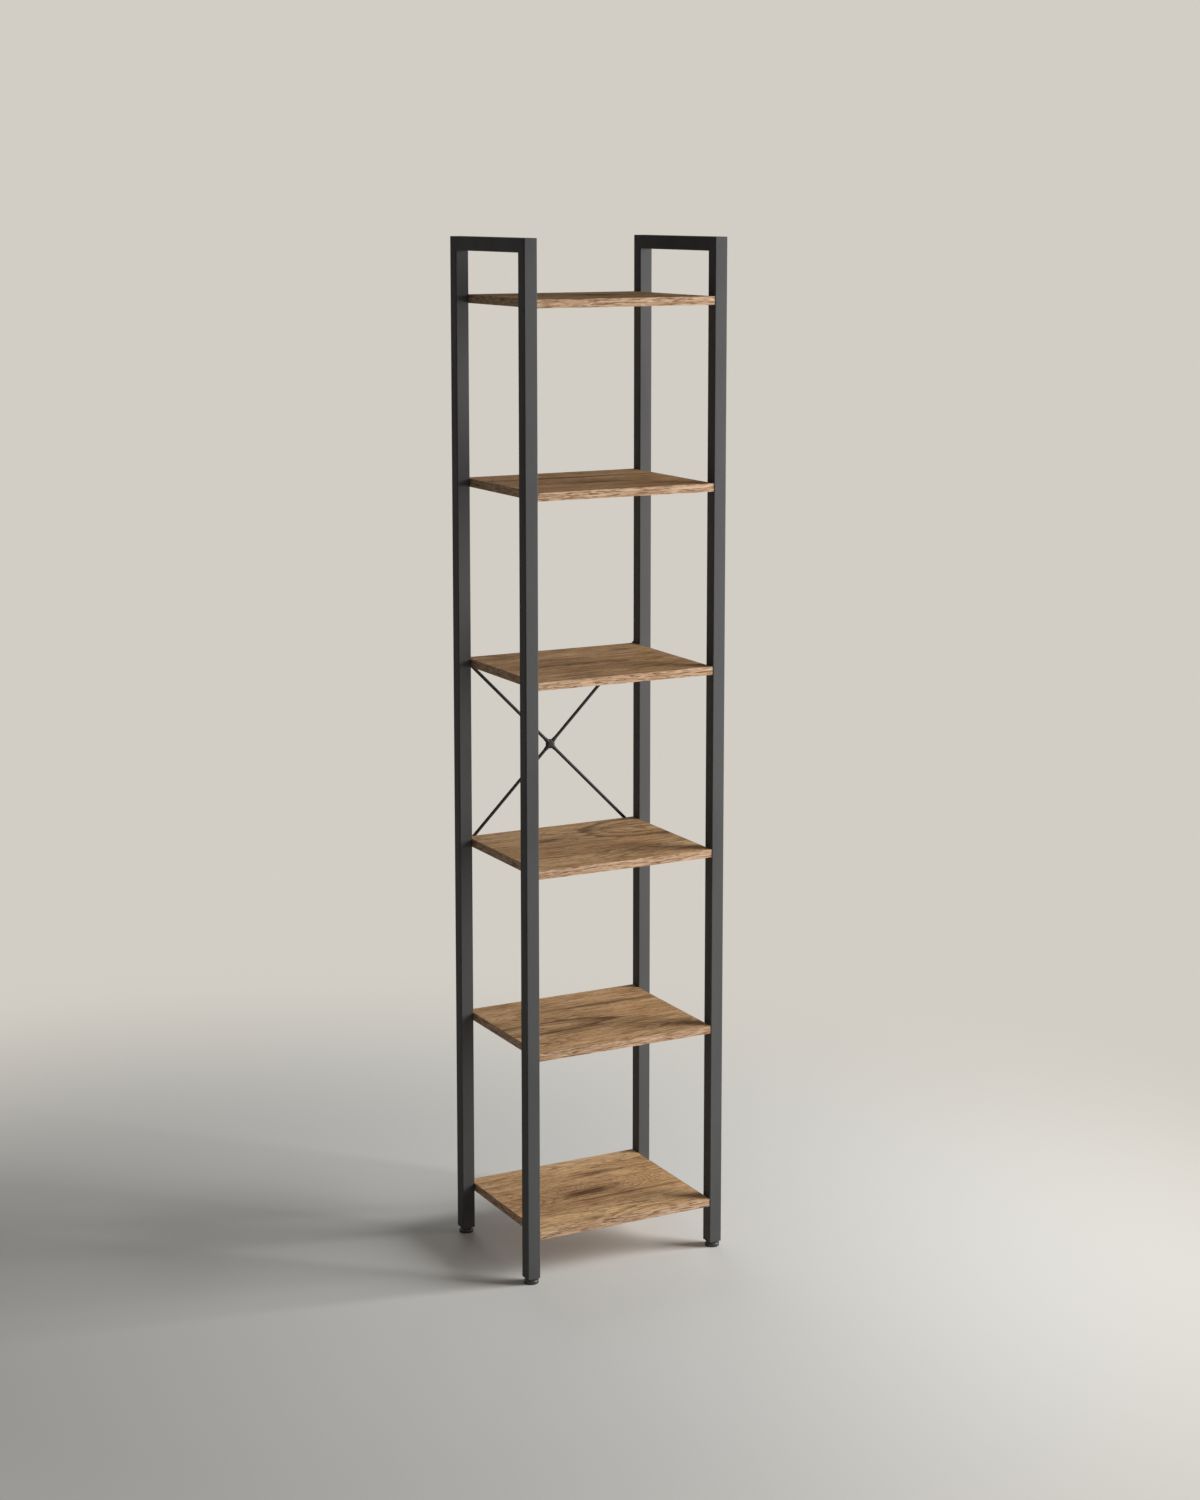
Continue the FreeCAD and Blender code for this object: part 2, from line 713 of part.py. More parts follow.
def export_pieces():
    """Writes each sub-part to a file of its own name."""
    os.makedirs("parts", exist_ok=True)
    for obj in pieces:
        obj.Shape.exportStep(f"parts/{obj.Label}.step")
        print(f"{obj.Label}: {len(obj.Shape.Solids)} solids, {obj.Shape.Volume:.0f} mm3")


for side in SIDES:
    for end in ENDS:
        add_upright(side, end)
    add_top_bar(side)
for level in SHELF_LEVELS:
    add_board(level)
    add_edging(level)
    add_dowels(level)
    add_cams(level)
for rod, x_way, z_way in rod_ends():
    add_rod(rod, x_way, z_way)
add_hub()
add_brace_screws()
for foot, x, y in foot_places():
    add_insert(foot, x, y)
    add_stud(foot, x, y)
    add_pad(foot, x, y)
add_foot_nuts()
doc.recompute()
check_document()
export_pieces()
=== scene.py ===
"""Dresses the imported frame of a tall, narrow industrial bookcase and stands it in a plain studio.

Fields that end in _mm are millimetres, as on a maker's drawing. Everything else is in metres and in the
frame's own axes: +Z up, the front at -Y and the left side at -X.
"""

import logging
import math
from dataclasses import dataclass
from enum import Enum
from typing import Any, ClassVar

import bmesh
import bpy
from bpy.types import ID, Material, Mesh, NodeOutputs, NodeSocket, NodeTree, Object, World
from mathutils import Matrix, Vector


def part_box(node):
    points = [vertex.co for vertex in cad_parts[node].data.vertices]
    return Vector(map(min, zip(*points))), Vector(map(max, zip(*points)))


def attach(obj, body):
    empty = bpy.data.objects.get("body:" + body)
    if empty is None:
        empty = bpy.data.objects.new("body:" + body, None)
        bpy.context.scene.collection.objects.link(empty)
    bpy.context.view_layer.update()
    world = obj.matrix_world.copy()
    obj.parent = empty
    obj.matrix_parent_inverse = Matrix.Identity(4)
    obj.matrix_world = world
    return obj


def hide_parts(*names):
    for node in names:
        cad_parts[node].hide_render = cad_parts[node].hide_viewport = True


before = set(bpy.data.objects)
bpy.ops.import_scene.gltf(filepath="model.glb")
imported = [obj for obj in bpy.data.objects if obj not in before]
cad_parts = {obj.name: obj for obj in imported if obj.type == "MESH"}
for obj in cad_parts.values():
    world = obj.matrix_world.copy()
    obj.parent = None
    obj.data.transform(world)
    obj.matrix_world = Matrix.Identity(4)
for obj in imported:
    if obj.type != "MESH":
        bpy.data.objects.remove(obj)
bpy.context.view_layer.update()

MM = 0.001
RIGHT, BACK, UP = Vector((1, 0, 0)), Vector((0, 1, 0)), Vector((0, 0, 1))
FIXED_BODY = "bookcase"
SHARP_ANGLE = math.radians(38)
LOG = logging.getLogger("bookcase")

# Sizes or coordinates along X, Y and Z, and two of them
Triple = tuple[float, float, float]
Pair = tuple[float, float]

# The kinds of node that are used most
MATH = "ShaderNodeMath"
RANGE = "ShaderNodeMapRange"
VECTOR = "ShaderNodeCombineXYZ"
MOVE = "GeometryNodeTransform"
JOIN = "GeometryNodeJoinGeometry"
CYLINDER = "GeometryNodeMeshCylinder"
INSTANCES = "GeometryNodeInstanceOnPoints"

# The settings of a Boolean that cuts one mesh out of another
CUT = {"operation": "DIFFERENCE", "solver": "EXACT"}

# The finer layers of a smooth and of a fine pattern, and the values that most of a pattern lies between
SMOOTH, FINE = 0.6, 2.0
CLOUD_LOW, CLOUD_HIGH = 0.3, 0.7


class Slot(Enum):
    """The record's material slots."""

    FRAME = "frame_powder_coat"
    BOARD = "shelf_surface"
    EDGE = "shelf_edge_band"
    ZINC = "zinc_plated_steel"
    CAM = "cast_zinc"
    SCREW = "black_screw"
    NYLON = "black_nylon"


class Side(Enum):
    """The two side frames, with the side of the middle plane that each stands on."""

    LEFT = -1
    RIGHT = 1


class End(Enum):
    """The front and the rear of a side frame, with the direction of each along Y."""

    FRONT = -1
    REAR = 1


class Height(Enum):
    """The upper and lower rods of the cross brace, with the direction of each from the hub."""

    LOWER = -1
    UPPER = 1


def word(choice: Enum) -> str:
    """Gives a choice's name as it stands in the names of the CAD nodes."""
    return choice.name.lower()


def linear(colour: str) -> tuple[float, float, float, float]:
    """Turns an sRGB colour into the linear light that the shaders work in.

    Args:
        colour: The colour as a hex value, such as "#8F6B47".

    Returns:
        Red, green and blue from 0 to 1, and an alpha of 1.
    """
    shares = [int(colour[i:i + 2], 16) / 255 for i in (1, 3, 5)]
    red, green, blue = (s / 12.92 if s <= 0.04045 else ((s + 0.055) / 1.055) ** 2.4 for s in shares)
    return red, green, blue, 1.0


def add(tree: NodeTree, kind: str, inputs: dict[str | int, Any] | list[Any] | None = None,
        **settings: Any) -> NodeOutputs:
    """Adds one node to a tree, with its settings, values and links.

    Args:
        tree: The material's or shape's node tree.
        kind: The node's type name.
        inputs: What the inputs take, by name or number, or in a list from the first one on. Each takes a
            value, a socket to link from, or a list of sockets.
        settings: The node's own properties.

    Returns:
        The new node's outputs.
    """
    node = tree.nodes.new(kind)
    for name, value in settings.items():
        setattr(node, name, value)
    for key, value in enumerate(inputs) if isinstance(inputs, list) else (inputs or {}).items():
        for source in value if isinstance(value, list) else [value]:
            if isinstance(source, NodeSocket):
                tree.links.new(source, node.inputs[key])
            else:
                node.inputs[key].default_value = source
    return node.outputs


def emptied(holder: Material | World) -> NodeTree:
    """Gives a new material or world a node tree with nothing in it.

    Args:
        holder: The material or world.

    Returns:
        Its node tree.
    """
    holder.use_nodes = True
    holder.node_tree.nodes.clear()
    return holder.node_tree


def linked(name: str, data: ID) -> Object:
    """Puts a new object in the scene.

    Args:
        name: The object's name.
        data: The mesh, light or camera that it shows.

    Returns:
        The new object.
    """
    made = bpy.data.objects.new(name, data)
    bpy.context.scene.collection.objects.link(made)
    return made


def corners(node: str) -> tuple[Vector, Vector]:
    """Gives a CAD node's lowest and highest corner at rest."""
    low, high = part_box(node)
    return Vector(low), Vector(high)


def cloud(tree: NodeTree, where: NodeSocket, size_mm: Triple, detail: float = 1.0) -> NodeSocket:
    """Draws a cloudy pattern whose patches have a real size.

    Args:
        tree: The material's nodes.
        where: The coordinates that the pattern follows.
        size_mm: How far apart the patches are along X, Y and Z.
        detail: How many finer layers lie on the patches.

    Returns:
        The pattern's value, mostly from 0.25 to 0.75.
    """
    scale = tuple(1 / (size * MM) for size in size_mm)
    placed = add(tree, "ShaderNodeMapping", {"Vector": where, "Scale": scale})["Vector"]
    return add(tree, "ShaderNodeTexNoise", {"Vector": placed, "Scale": 1.0, "Detail": detail})["Fac"]


@dataclass(frozen=True)
class Mark:
    """Spots or streaks of another colour that lie over a finish's ground colour."""

    colour: str
    size_mm: Triple
    begins: float
    full: float
    strength: float
    detail: float = 1.0

    def cover(self, tree: NodeTree, where: NodeSocket) -> NodeSocket:
        """Draws where the marks lie.

        Args:
            tree: The material's nodes.
            where: The coordinates that the marks follow.

        Returns:
            How much of the mark's colour shows, from 0 to the mark's strength.
        """
        patches = cloud(tree, where, self.size_mm, self.detail)
        limits = {"Value": patches, "From Min": self.begins, "From Max": self.full, "To Max": self.strength}
        return add(tree, RANGE, limits, interpolation_type="SMOOTHSTEP")["Result"]


@dataclass(frozen=True)
class Finish:
    """A real surface: a ground colour with marks on it, uneven gloss and a fine relief."""

    name: str
    ground: str
    marks: tuple[Mark, ...]
    smoothest: float
    roughest: float
    gloss_mm: Triple
    relief_mm: Triple
    relief_height_mm: float
    metallic: float = 0.0
    ior: float = 1.5
    specular: float = 0.5

    def layers(self, tree: NodeTree, where: NodeSocket) -> list[tuple[NodeSocket, str]]:
        """Draws what lies over the ground colour.

        Args:
            tree: The material's nodes.
            where: The piece's own coordinates.

        Returns:
            How much of each layer shows, and its colour, the lowest one first.
        """
        return [(mark.cover(tree, where), mark.colour) for mark in self.marks]

    def material(self) -> Material:
        """Builds the finish as a material.

        Returns:
            The new material.
        """
        made = bpy.data.materials.new(self.name)
        tree = emptied(made)
        where = add(tree, "ShaderNodeTexCoord")["Object"]
        colour: Any = linear(self.ground)
        for cover, tint in self.layers(tree, where):
            # A Mix node has its share at input 0, and its colours at inputs 6 and 7 and output 2
            laid = {0: cover, 6: colour, 7: linear(tint)}
            colour = add(tree, "ShaderNodeMix", laid, data_type="RGBA")[2]
        gloss = {"Value": cloud(tree, where, self.gloss_mm, FINE), "From Min": CLOUD_LOW,
                 "From Max": CLOUD_HIGH, "To Min": self.smoothest, "To Max": self.roughest}
        relief = {"Height": cloud(tree, where, self.relief_mm, FINE), "Strength": 1.0,
                  "Distance": self.relief_height_mm * MM}
        surface = {
            "Base Color": colour,
            "Roughness": add(tree, RANGE, gloss)["Result"],
            "Normal": add(tree, "ShaderNodeBump", relief)["Normal"],
            "Metallic": self.metallic,
            "IOR": self.ior,
            "Specular IOR Level": self.specular,
        }
        shader = add(tree, "ShaderNodeBsdfPrincipled", surface)["BSDF"]
        add(tree, "ShaderNodeOutputMaterial", {"Surface": shader})
        return made


@dataclass(frozen=True)
class Knot:
    """A dark eye or streak in the print on one shelf's board, or a set of nested loops."""

    shelf: int
    place_mm: Pair
    size_mm: Pair
    strength: float
    loops: int = 0
    depth_mm: float = 60.0
    eye_full: float = 0.15
    loops_full: float = 0.9
    loops_ragged: float = 0.35
    line_begins: float = 0.6
    line_full: float = 0.92

    def cover(self, tree: NodeTree, where: NodeSocket, ragged: NodeSocket) -> NodeSocket:
        """Draws where the dark wood lies.

        Args:
            tree: The material's nodes.
            where: The board's own coordinates.
            ragged: What is added to the distance from the middle, so that the outline isn't a plain ellipse.

        Returns:
            How much of the dark colour shows, from 0 to the knot's strength.
        """
        top = corners(f"shelf_{self.shelf}_board")[1].z
        scale = Vector([2 / (size * MM) for size in (*self.size_mm, self.depth_mm)])
        middle = Vector((self.place_mm[0] * MM, self.place_mm[1] * MM, top))
        place = {"Vector": where, "Scale": scale, "Location": -middle * scale}
        spot = add(tree, "ShaderNodeMapping", place)["Vector"]
        far = add(tree, "ShaderNodeVectorMath", [spot], operation="LENGTH")["Value"]
        share, full = (self.loops_ragged, self.loops_full) if self.loops else (1.0, self.eye_full)
        far = add(tree, MATH, [ragged, share, far], operation="MULTIPLY_ADD")[0]
        fade = {"Value": far, "From Min": 1.0, "From Max": full, "To Max": self.strength}
        shown = add(tree, RANGE, fade, interpolation_type="SMOOTHSTEP")["Result"]
        if self.loops:
            turn = add(tree, MATH, [far, self.loops], operation="MULTIPLY")[0]
            line = {"Value": add(tree, MATH, [turn], operation="FRACT")[0], "From Min": self.line_begins,
                    "From Max": self.line_full}
            drawn = add(tree, RANGE, line, interpolation_type="SMOOTHSTEP")["Result"]
            shown = add(tree, MATH, [shown, drawn], operation="MULTIPLY")[0]
        return shown


@dataclass(frozen=True)
class PrintedBoard(Finish):
    """A board with a printed wood surface: grain along X, growth rings, and knots that are listed one by one.
    """

    knots: tuple[Knot, ...] = ()
    knot_colour: str = "#462F1C"
    ragged_mm: Triple = (80, 12, 12)
    raggedness: float = 1.3
    sway_mm: Triple = (520, 130, 60)
    bow_mm: float = 45.0
    ring_colour: str = "#5E4226"
    ring_strength: float = 0.5
    figure_mm: Triple = (300, 80, 60)
    waver_mm: Triple = (50, 10, 10)
    rings_in_figure: float = 19.0
    rings_in_waver: float = 0.7
    late_begins: float = 0.2
    fading_mm: Triple = (170, 75, 60)
    fading_range: Pair = (0.42, 0.62)

    def rings(self, tree: NodeTree, where: NodeSocket) -> NodeSocket:
        """Draws growth rings as the contour lines of a long, smooth figure, which show only in places.

        Args:
            tree: The material's nodes.
            where: The board's own coordinates.

        Returns:
            How much of the rings' colour shows.
        """
        figure = cloud(tree, where, self.figure_mm, SMOOTH)
        waver = cloud(tree, where, self.waver_mm, FINE)
        bent = add(tree, MATH, [waver, self.rings_in_waver], operation="MULTIPLY")[0]
        count = add(tree, MATH, [figure, self.rings_in_figure, bent], operation="MULTIPLY_ADD")[0]
        # Late wood darkens through a year and ends in a sharp line
        year = {"Value": add(tree, MATH, [count], operation="FRACT")[0], "From Min": self.late_begins}
        late = add(tree, RANGE, year, interpolation_type="SMOOTHSTEP")["Result"]
        faint, clear = self.fading_range
        fading = {"Value": cloud(tree, where, self.fading_mm), "From Min": faint, "From Max": clear,
                  "To Max": self.ring_strength}
        return add(tree, MATH, [late, add(tree, RANGE, fading)["Result"]], operation="MULTIPLY")[0]

    def layers(self, tree: NodeTree, where: NodeSocket) -> list[tuple[NodeSocket, str]]:
        """Draws grain that sways a little, and lays the rings and the knots over it.

        Args:
            tree: The material's nodes.
            where: The board's own coordinates.

        Returns:
            How much of each layer shows, and its colour, the lowest one first.
        """
        sway = cloud(tree, where, self.sway_mm, SMOOTH)
        bow = add(tree, MATH, [sway, self.bow_mm * MM], operation="MULTIPLY")[0]
        aside = add(tree, VECTOR, {"Y": bow})["Vector"]
        grain = add(tree, "ShaderNodeVectorMath", [where, aside], operation="ADD")["Vector"]
        edge = cloud(tree, where, self.ragged_mm, FINE)
        ragged = add(tree, MATH, [edge, self.raggedness, -0.5 * self.raggedness], operation="MULTIPLY_ADD")[0]
        dark: Any = 0.0
        for knot in self.knots:
            dark = add(tree, MATH, [dark, knot.cover(tree, where, ragged)], operation="MAXIMUM")[0]
        rings = self.rings(tree, where)
        return super().layers(tree, grain) + [(rings, self.ring_colour), (dark, self.knot_colour)]


# Steel with a sprayed and baked polyester powder coat: an even charcoal with a soft, broad shine.
# Its grains are about 0.3 mm and are drawn at 1.6 mm, so that they show.
POWDER_COAT = Finish(
    name="Fine matt powder coat on steel",
    ground="#525252",
    marks=(
        Mark("#5D5D5D", (1.6, 1.6, 1.6), 0.45, 0.75, 0.6),
        Mark("#484848", (70, 70, 260), 0.45, 0.75, 0.5, 2.0),
    ),
    smoothest=0.46, roughest=0.58, gloss_mm=(30, 30, 120),
    relief_mm=(1.6, 1.6, 1.6), relief_height_mm=0.05, specular=0.03,
)

# The frame's powder coat in a darker copy for the brace rods and hub: the darker colour is painted shade.
# Its grains are drawn at 1.2 mm, so that they show.
SHADED_ROD_COAT = Finish(
    name="Black powder coat on steel rod",
    ground="#303030",
    marks=(
        Mark("#3B3B3B", (1.2, 1.2, 1.2), 0.45, 0.75, 0.5),
        Mark("#262626", (40, 40, 40), 0.45, 0.75, 0.5, 2.0),
    ),
    smoothest=0.44, roughest=0.56, gloss_mm=(20, 20, 20),
    relief_mm=(1.2, 1.2, 1.2), relief_height_mm=0.02, specular=0.10,
)

# Particle board with printed and pressed wood paper under melamine: golden brown wood with knots, streaks and
# growth rings, all under one dull skin. Its fibres and pores are under 1 mm wide and are drawn at 2 to 6 mm,
# so that they show.
PRINTED_WOOD = PrintedBoard(
    name="Printed rustic wood on particle board",
    ground="#C89F74",
    marks=(
        Mark("#DFB98B", (900, 60, 60), 0.46, 0.62, 0.7),
        Mark("#AD855B", (300, 22, 22), 0.48, 0.66, 0.45, 1.5),
        Mark("#8A6642", (90, 6, 6), 0.50, 0.68, 0.42, 1.5),
        Mark("#E7C699", (60, 4.5, 4.5), 0.54, 0.70, 0.45),
        Mark("#735234", (40, 3, 3), 0.54, 0.70, 0.65, 1.5),
        Mark("#6B4A2C", (120, 26, 26), 0.60, 0.76, 0.4, 3.0),
        Mark("#483019", (13, 2, 2), 0.55, 0.70, 0.55),
    ),
    smoothest=0.62, roughest=0.80, gloss_mm=(60, 5, 5),
    relief_mm=(40, 2.2, 2.2), relief_height_mm=0.12, specular=0.01,
    knots=(
        Knot(1, (-10, -12), (190, 44), 0.85),
        Knot(1, (44, 70), (150, 32), 0.7),
        Knot(1, (40, -46), (420, 13), 0.6),
        Knot(1, (45, 0), (240, 80), 0.55, 14),
        Knot(2, (-110, -20), (330, 64), 0.75, 1),
        Knot(2, (-110, -20), (270, 34), 0.5, 1),
        Knot(2, (70, 68), (380, 21), 0.65),
        Knot(2, (-45, -47), (240, 15), 0.65),
        Knot(3, (140, 70), (250, 146), 0.7, 1),
        Knot(3, (150, 72), (190, 92), 0.45, 1),
        Knot(3, (-66, 50), (100, 44), 0.7),
        Knot(4, (-20, -8), (300, 26), 0.5),
        Knot(4, (119, 93), (90, 36), 0.6),
        Knot(4, (-60, 45), (220, 18), 0.45),
        Knot(5, (-10, 62), (520, 34), 0.7),
        Knot(5, (10, -34), (360, 30), 0.4),
        Knot(6, (21, 15), (130, 90), 0.8),
        Knot(6, (112, 8), (110, 40), 0.5),
    ),
)

# Edge band of printed melamine paper: paler and pinker than the boards, with short streaks along the edge.
# The streaks are drawn about twice as thick as the real ones, so that they show.
EDGE_BAND = Finish(
    name="Printed melamine edge band",
    ground="#AB8B6D",
    marks=(
        Mark("#CBAB8E", (60, 60, 3.2), 0.47, 0.63, 0.75, 2.0),
        Mark("#8B633F", (34, 34, 2.4), 0.49, 0.64, 0.75, 2.0),
        Mark("#D5B79B", (18, 18, 1.4), 0.53, 0.66, 0.6),
        Mark("#553820", (20, 20, 1.3), 0.54, 0.66, 0.8),
    ),
    smoothest=0.48, roughest=0.62, gloss_mm=(30, 30, 4),
    relief_mm=(24, 24, 2), relief_height_mm=0.08, specular=0.10,
)

# Steel with bright zinc plate: pale blue-grey metal with cloudy gloss and faint yellow from passivation.
ZINC_PLATE = Finish(
    name="Bright zinc plate on steel",
    ground="#C3C6C9",
    marks=(
        Mark("#CDC8B4", (9, 9, 9), 0.5, 0.75, 0.5, 2.0),
        Mark("#8F9396", (3, 3, 3), 0.56, 0.75, 0.5, 2.0),
    ),
    smoothest=0.26, roughest=0.42, gloss_mm=(5, 5, 5),
    relief_mm=(2, 2, 2), relief_height_mm=0.02, metallic=1.0,
)

# Die-cast zinc, tumbled: dull grey metal with small pits, which are drawn at 1.5 mm, so that they show.
CAST_ZINC = Finish(
    name="Tumbled die-cast zinc",
    ground="#ABADAE",
    marks=(
        Mark("#C2C3C3", (4, 4, 4), 0.5, 0.72, 0.6, 2.0),
        Mark("#77797A", (1.5, 1.5, 1.5), 0.58, 0.74, 0.7),
    ),
    smoothest=0.40, roughest=0.60, gloss_mm=(3, 3, 3),
    relief_mm=(1.2, 1.2, 1.2), relief_height_mm=0.08, metallic=1.0,
)

# Steel with a black oxide, oiled: near black, smooth, with a soft metal shine worn through in places.
BLACK_OXIDE = Finish(
    name="Black oxide on steel",
    ground="#2B2B2C",
    marks=(
        Mark("#47474A", (2, 2, 2), 0.58, 0.78, 0.6, 2.0),
        Mark("#1B1B1B", (5, 5, 5), 0.5, 0.75, 0.6),
    ),
    smoothest=0.30, roughest=0.46, gloss_mm=(3, 3, 3),
    relief_mm=(1, 1, 1), relief_height_mm=0.03, metallic=0.6,
)

# Injection-moulded nylon from a spark-eroded mould: soft black with an even, fine grain.
# The grain is about 0.2 mm and is drawn at 1 mm, so that it shows.
MOULDED_NYLON = Finish(
    name="Moulded black nylon",
    ground="#333334",
    marks=(
        Mark("#3E3E3F", (1, 1, 1), 0.5, 0.75, 0.6),
        Mark("#282828", (9, 9, 4), 0.5, 0.75, 0.6, 2.0),
    ),
    smoothest=0.24, roughest=0.36, gloss_mm=(6, 6, 6),
    relief_mm=(1, 1, 1), relief_height_mm=0.05, ior=1.53,
)

FINISHES = {
    Slot.FRAME: POWDER_COAT,
    Slot.BOARD: PRINTED_WOOD,
    Slot.EDGE: EDGE_BAND,
    Slot.ZINC: ZINC_PLATE,
    Slot.CAM: CAST_ZINC,
    Slot.SCREW: BLACK_OXIDE,
    Slot.NYLON: MOULDED_NYLON,
}


class Workshop:
    """Holds the finishes, and puts each finished piece in the scene."""

    def __init__(self) -> None:
        """Makes one material for each slot of the record."""
        self.materials = {slot: finish.material() for slot, finish in FINISHES.items()}

    def place(self, name: str, mesh: Mesh, slot: Slot, node: str, body: str = FIXED_BODY,
              shade: Material | None = None) -> None:
        """Shows a mesh as a piece that stands for a CAD node.

        Args:
            name: The piece's name.
            mesh: Its shape, in the frame's axes.
            slot: The record's slot that gives its finish.
            node: The CAD node that it stands for.
            body: The CAD body that it moves with.
            shade: A darker copy of the slot's finish, with painted shade in its colour, where the piece has
                one.
        """
        mesh.name = name
        mesh.materials.clear()
        mesh.materials.append(shade or self.materials[slot])
        mesh.shade_smooth()
        mesh.set_sharp_from_angle(angle=SHARP_ANGLE)
        piece = linked(name, mesh)
        evened = piece.modifiers.new("Flat faces stay flat", "WEIGHTED_NORMAL")
        evened.keep_sharp = True
        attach(piece, body)
        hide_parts(node)
        LOG.info("%s: %d faces, moves with %s", name, len(mesh.polygons), body)

    def dress(self, node: str, slot: Slot) -> None:
        """Gives a CAD node that stays in view its finish.

        Args:
            node: The CAD node's name.
            slot: The record's slot that gives its finish.
        """
        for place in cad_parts[node].material_slots:
            place.material = self.materials[slot]
        LOG.info("%s: CAD shape, dressed", node)


def angles(count: int) -> list[float]:
    """Divides a full turn into equal steps."""
    return [2 * math.pi * i / count for i in range(count)]


def fuller(share: float, power: float) -> float:
    """Raises a sine or cosine to a power and keeps its sign, which makes a round outline squarer."""
    return math.copysign(abs(share) ** power, share)


def rounded_square(side: float, corner: float, steps: int) -> list[Pair]:
    """Draws a square with rounded corners about the origin.

    Args:
        side: The square's side.
        corner: The corners' radius.
        steps: How many straight stretches a corner has.

    Returns:
        The outline's points, anticlockwise.
    """
    middle = side / 2 - corner
    points = []
    for quarter, (x, y) in enumerate(((1, 1), (-1, 1), (-1, -1), (1, -1))):
        for step in range(steps + 1):
            angle = (quarter + step / steps) * math.pi / 2
            points.append((x * middle + corner * math.cos(angle), y * middle + corner * math.sin(angle)))
    return points


def circle(middle: Vector, first: Vector, second: Vector, radius: float, count: int) -> list[Vector]:
    """Draws a circle in the plane of two directions.

    Args:
        middle: The circle's middle.
        first: The direction of its first point.
        second: The direction of its point a quarter turn on.
        radius: Its radius.
        count: How many points it has.

    Returns:
        The circle's points.
    """
    return [middle + first * radius * math.cos(a) + second * radius * math.sin(a) for a in angles(count)]


def loft(bm: bmesh.types.BMesh, rings: list[list[Vector]], joined: bool = False) -> None:
    """Skins a row of rings, each with as many points, as one closed shell.

    Args:
        bm: The mesh that the shell is added to.
        rings: The rings in order, each a closed loop of points.
        joined: Whether the last ring leads back to the first, as on a hollow tube. If not, both are capped.
    """
    rows = [[bm.verts.new(point) for point in ring] for ring in rings]
    count = len(rows[0])
    made = []
    for i in range(len(rows) if joined else len(rows) - 1):
        here, there = rows[i], rows[(i + 1) % len(rows)]
        for j in range(count):
            k = (j + 1) % count
            made.append(bm.faces.new((here[j], here[k], there[k], there[j])))
    if not joined:
        made.append(bm.faces.new(rows[0][::-1]))
        made.append(bm.faces.new(rows[-1]))
    bmesh.ops.recalc_face_normals(bm, faces=made)


def finished(bm: bmesh.types.BMesh, name: str) -> Mesh:
    """Turns working geometry into a plain mesh.

    Args:
        bm: The geometry, which is freed.
        name: The mesh's name.

    Returns:
        The new mesh.
    """
    mesh = bpy.data.meshes.new(name)
    bm.to_mesh(mesh)
    bm.free()
    return mesh


